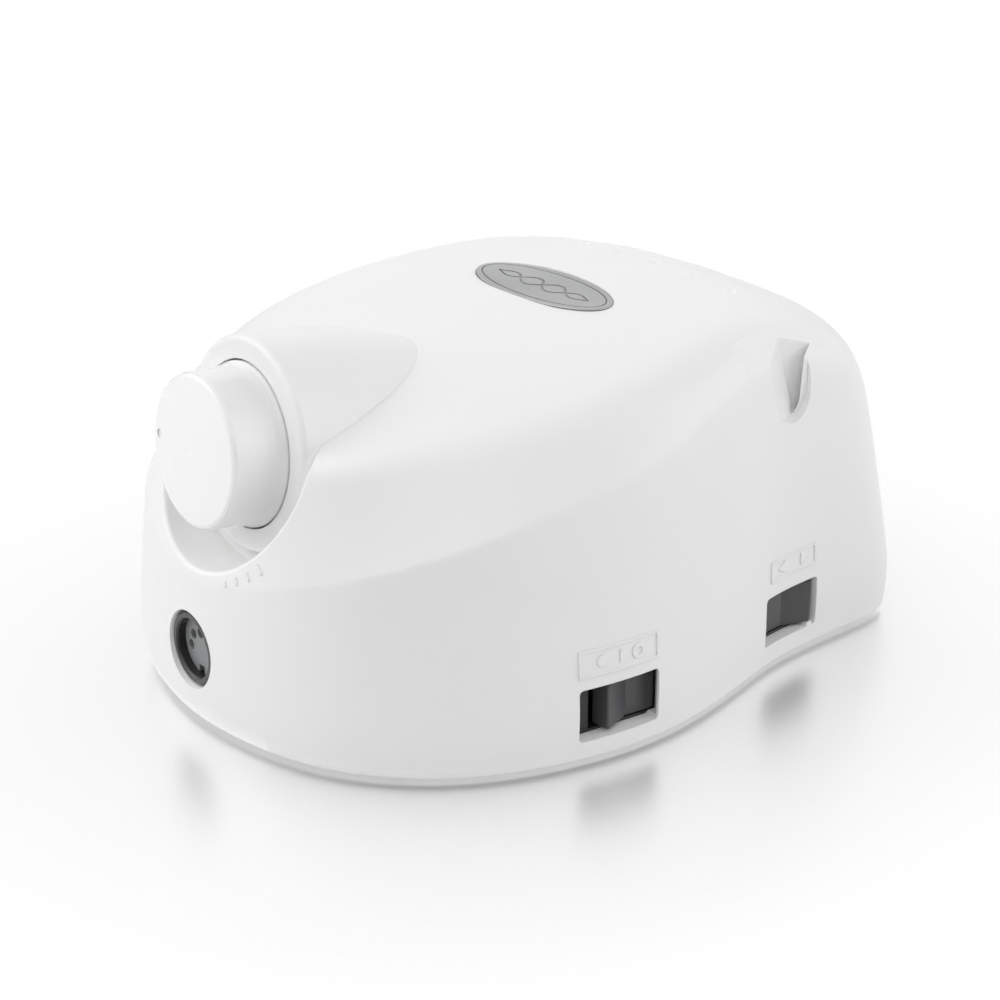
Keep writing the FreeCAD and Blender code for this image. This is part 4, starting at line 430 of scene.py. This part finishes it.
def board():
    """printed board: green solder mask over diagonal tracks, with scattered solder pads"""
    g = Shader("board_green")
    diagonal = g.stretched((1.0, 1.0, 0.0), rotation=(0, 0, 0.7854))
    brick = g.new("TexBrick", {"Vector": diagonal, "Scale": 260.0, "Mortar Size": 0.09,
                               "Brick Width": 1.9, "Row Height": 0.7})
    areas = g.ramp(g.noise(scale=90.0, detail=2.0), low=0.47, high=0.50)
    track = g.multiply(brick.outputs["Fac"], areas)
    cloud = g.noise(scale=300.0, detail=4.0, rough=0.6)
    colour = g.mix(g.ramp(cloud, low=0.3, high=0.7),
                   (0.018, 0.115, 0.045), (0.026, 0.150, 0.062))
    colour = g.mix(track, colour, (0.055, 0.24, 0.10))
    pad = g.ramp(g.voronoi(scale=330.0), low=0.10, high=0.13, start=1.0, end=0.0)
    colour = g.mix(pad, colour, (0.62, 0.60, 0.55))
    g.bump(track, strength=0.3, depth=0.06 * MM)
    g.bump(pad, strength=0.6, depth=0.15 * MM)
    g.bump(g.wave(scale=900.0, axis="X", distortion=0.3), strength=0.06, depth=0.02 * MM)
    return g.finish(colour, 0.30, {"Metallic": g.multiply(pad, 0.9)})


def glass():
    """clear glass, faintly smeared"""
    g = Shader("clear_glass")
    colour = g.mix(g.ramp(g.noise(scale=200.0), low=0.4, high=0.7),
                   (0.86, 0.92, 0.90), (0.95, 0.97, 0.96))
    gloss = g.ramp(g.noise(scale=800.0, detail=4.0), low=0.45, high=0.75, start=0.03, end=0.16)
    g.bump(g.noise(scale=120.0, detail=2.0), strength=0.05, depth=0.2 * MM)
    return g.finish(colour, gloss, {"Transmission Weight": 0.9})


SHADERS.update(rubber=rubber(), badge=badge(), core=laminations(), tape=tape(),
               board=board(), glass=glass())

# the pieces that wear each material
PIECES = {
    "shell": ["top_shell"],
    "knob": ["speed_knob"],
    "base": ["base_plate"],
    "badge": ["badge_plate"],
    "rubber": ["rubber_feet"],
    "rocker": ["mode_rocker", "direction_rocker", "power_rocker"],
    "switch": ["mode_switch_body", "direction_switch_body", "power_switch_body",
               "mains_inlet_body"],
    "socket": ["socket_housing", "pedal_jack_body"],
    "insulator": ["socket_insulator"],
    "tin": ["direction_switch_terminals", "mode_switch_terminals", "power_switch_terminals",
            "pedal_jack_terminals", "pot_terminals", "socket_solder_tails",
            "socket_contacts", "rectifier_leads"],
    "nickel": ["fuse_caps", "fuse_clips", "knob_shaft", "mains_inlet_pins",
               "pedal_jack_nut", "pot_bushing", "pot_nut"],
    "steel": ["case_screws", "board_screws", "transformer_screws", "pot_washer"],
    "zinc": ["transformer_strap", "pot_body"],
    "core": ["transformer_core"],
    "tape": ["primary_winding", "secondary_winding"],
    "bobbin": ["transformer_bobbin"],
    "board": ["control_board"],
    "epoxy": ["bridge_rectifier", "control_chip", "motor_triac"],
    "relay": ["reversing_relay"],
    "nylon": ["wire_headers", "wire_plugs"],
    "sleeve": ["filter_capacitors", "smoothing_capacitors"],
    "resistor": ["board_resistors"],
    "aluminium": ["heat_sink"],
    "glass": ["fuse_glass"],
    "wire_black": ["socket_wires", "mains_wires"],
    "wire_red": ["mode_switch_wires"],
    "wire_blue": ["direction_switch_wires"],
    "wire_grey": ["knob_wires"],
}
for key, pieces in PIECES.items():
    for piece in pieces:
        slots = NODES[piece].data.materials
        slots.clear()
        slots.append(SHADERS[key].material)
assert set(sum(PIECES.values(), [])) == set(NODES), "every piece needs a material"


# ---------------------------------------------------------------- floor
def floor_material():
    """polished table: plain white to the camera, softly mirroring close to the object"""
    g = Shader("floor_white")
    colour = g.mix(g.ramp(g.noise(scale=9.0), low=0.3, high=0.7),
                   (0.90, 0.90, 0.90), (0.91, 0.91, 0.91))
    g.finish(colour, g.ramp(g.noise(scale=14.0), low=0.3, high=0.7, start=0.10, end=0.13))
    hidden = g.inverse(g.openness(0.072, samples=16))
    # the mirror fades in towards the object and weakens again right beneath it
    near = g.multiply(g.ramp(hidden, low=0.0, high=0.42, end=0.92),
                      g.ramp(hidden, low=0.45, high=0.66, start=1.0, end=0.52))
    white = g.new("Emission", {"Color": WHITE, "Strength": 1.0})
    mirror = g.new("BsdfGlossy", {"Color": (0.97, 0.97, 0.97, 1.0), "Roughness": 0.32})
    seen = g.mix_shader(near, white.outputs["Emission"], mirror.outputs["BSDF"])
    g.put(g.output, "Surface", g.mix_shader(g.light_path("Is Camera Ray"),
                                            g.surface.outputs["BSDF"], seen))
    return g.material


def floor():
    """square grid, far larger than the object"""
    ticks = [-FLOOR_SIZE / 2 + FLOOR_SIZE * i / FLOOR_CELLS for i in range(FLOOR_CELLS + 1)]
    bm = bmesh.new()
    rows = [[bm.verts.new((x, y, 0.0)) for x in ticks] for y in ticks]
    for low, high in zip(rows, rows[1:]):
        for i in range(FLOOR_CELLS):
            bm.faces.new((low[i], low[i + 1], high[i + 1], high[i]))
    mesh = bpy.data.meshes.new("studio_floor")
    bm.to_mesh(mesh)
    bm.free()
    plane = bpy.data.objects.new("studio_floor", mesh)
    bpy.context.scene.collection.objects.link(plane)
    mesh.materials.append(floor_material())


floor()

# ---------------------------------------------------------------- light
# Broad lobes of a soft light tent: azimuth and elevation in degrees, strength.
# Azimuth 0 is -Y and 90 is +X.
LOBES = [
    (135, 12, 2.54), (180, 12, 1.283), (225, 12, 0.655), (270, 12, 0.138), (315, 12, 1.56),
    (0, 45, 1.555), (60, 45, 1.183), (120, 45, 0.492), (300, 45, 2.227), (0, 85, 0.122),
]
LOBE_POWER = 8.0  # a higher power makes narrower lobes


def direction(azimuth, elevation):
    turn, rise = math.radians(azimuth), math.radians(elevation)
    return (math.sin(turn) * math.cos(rise), -math.cos(turn) * math.cos(rise), math.sin(rise))


def light_tent():
    world = bpy.data.worlds.new("studio")
    bpy.context.scene.world = world
    world.use_nodes = True
    g = Nodes(world.node_tree)
    output = g.new("OutputWorld")
    coord = g.new("TexCoord").outputs["Generated"]
    total = None
    for azimuth, elevation, strength in LOBES:
        facing = g.math("MAXIMUM", g.dot(coord, direction(azimuth, elevation)), 0.0)
        lobe = g.multiply(g.math("POWER", facing, LOBE_POWER), strength)
        total = lobe if total is None else g.math("ADD", total, lobe)
    # behind the object, as glossy surfaces mirror it, the tent is plain white
    behind = g.dot(coord, direction(azimuth=232.6, elevation=20.0))
    behind = g.multiply(g.ramp(behind, low=0.90, high=0.95), g.light_path("Is Glossy Ray"))
    total = g.math("MAXIMUM", total, behind)
    tent, plain = (g.new("Background", {"Color": WHITE, "Strength": strength})
                   for strength in (total, 1.0))
    g.put(output, "Surface", g.mix_shader(g.light_path("Is Camera Ray"),
                                          tent.outputs["Background"],
                                          plain.outputs["Background"]))


light_tent()

# ---------------------------------------------------------------- camera
lens = bpy.data.cameras.new("main_camera")
camera = bpy.data.objects.new("main_camera", lens)
bpy.context.scene.collection.objects.link(camera)
lens.sensor_width = 36.0
lens.lens = 79.2
lens.clip_start = 0.01
lens.clip_end = 50.0
camera.location = CAMERA_PLACE
camera.rotation_mode = "QUATERNION"
camera.rotation_quaternion = (CAMERA_AIM - CAMERA_PLACE).to_track_quat("-Z", "Y")
bpy.context.scene.camera = camera

view = bpy.context.scene.view_settings
view.view_transform = "Standard"
view.look = "None"
view.exposure = 0.0
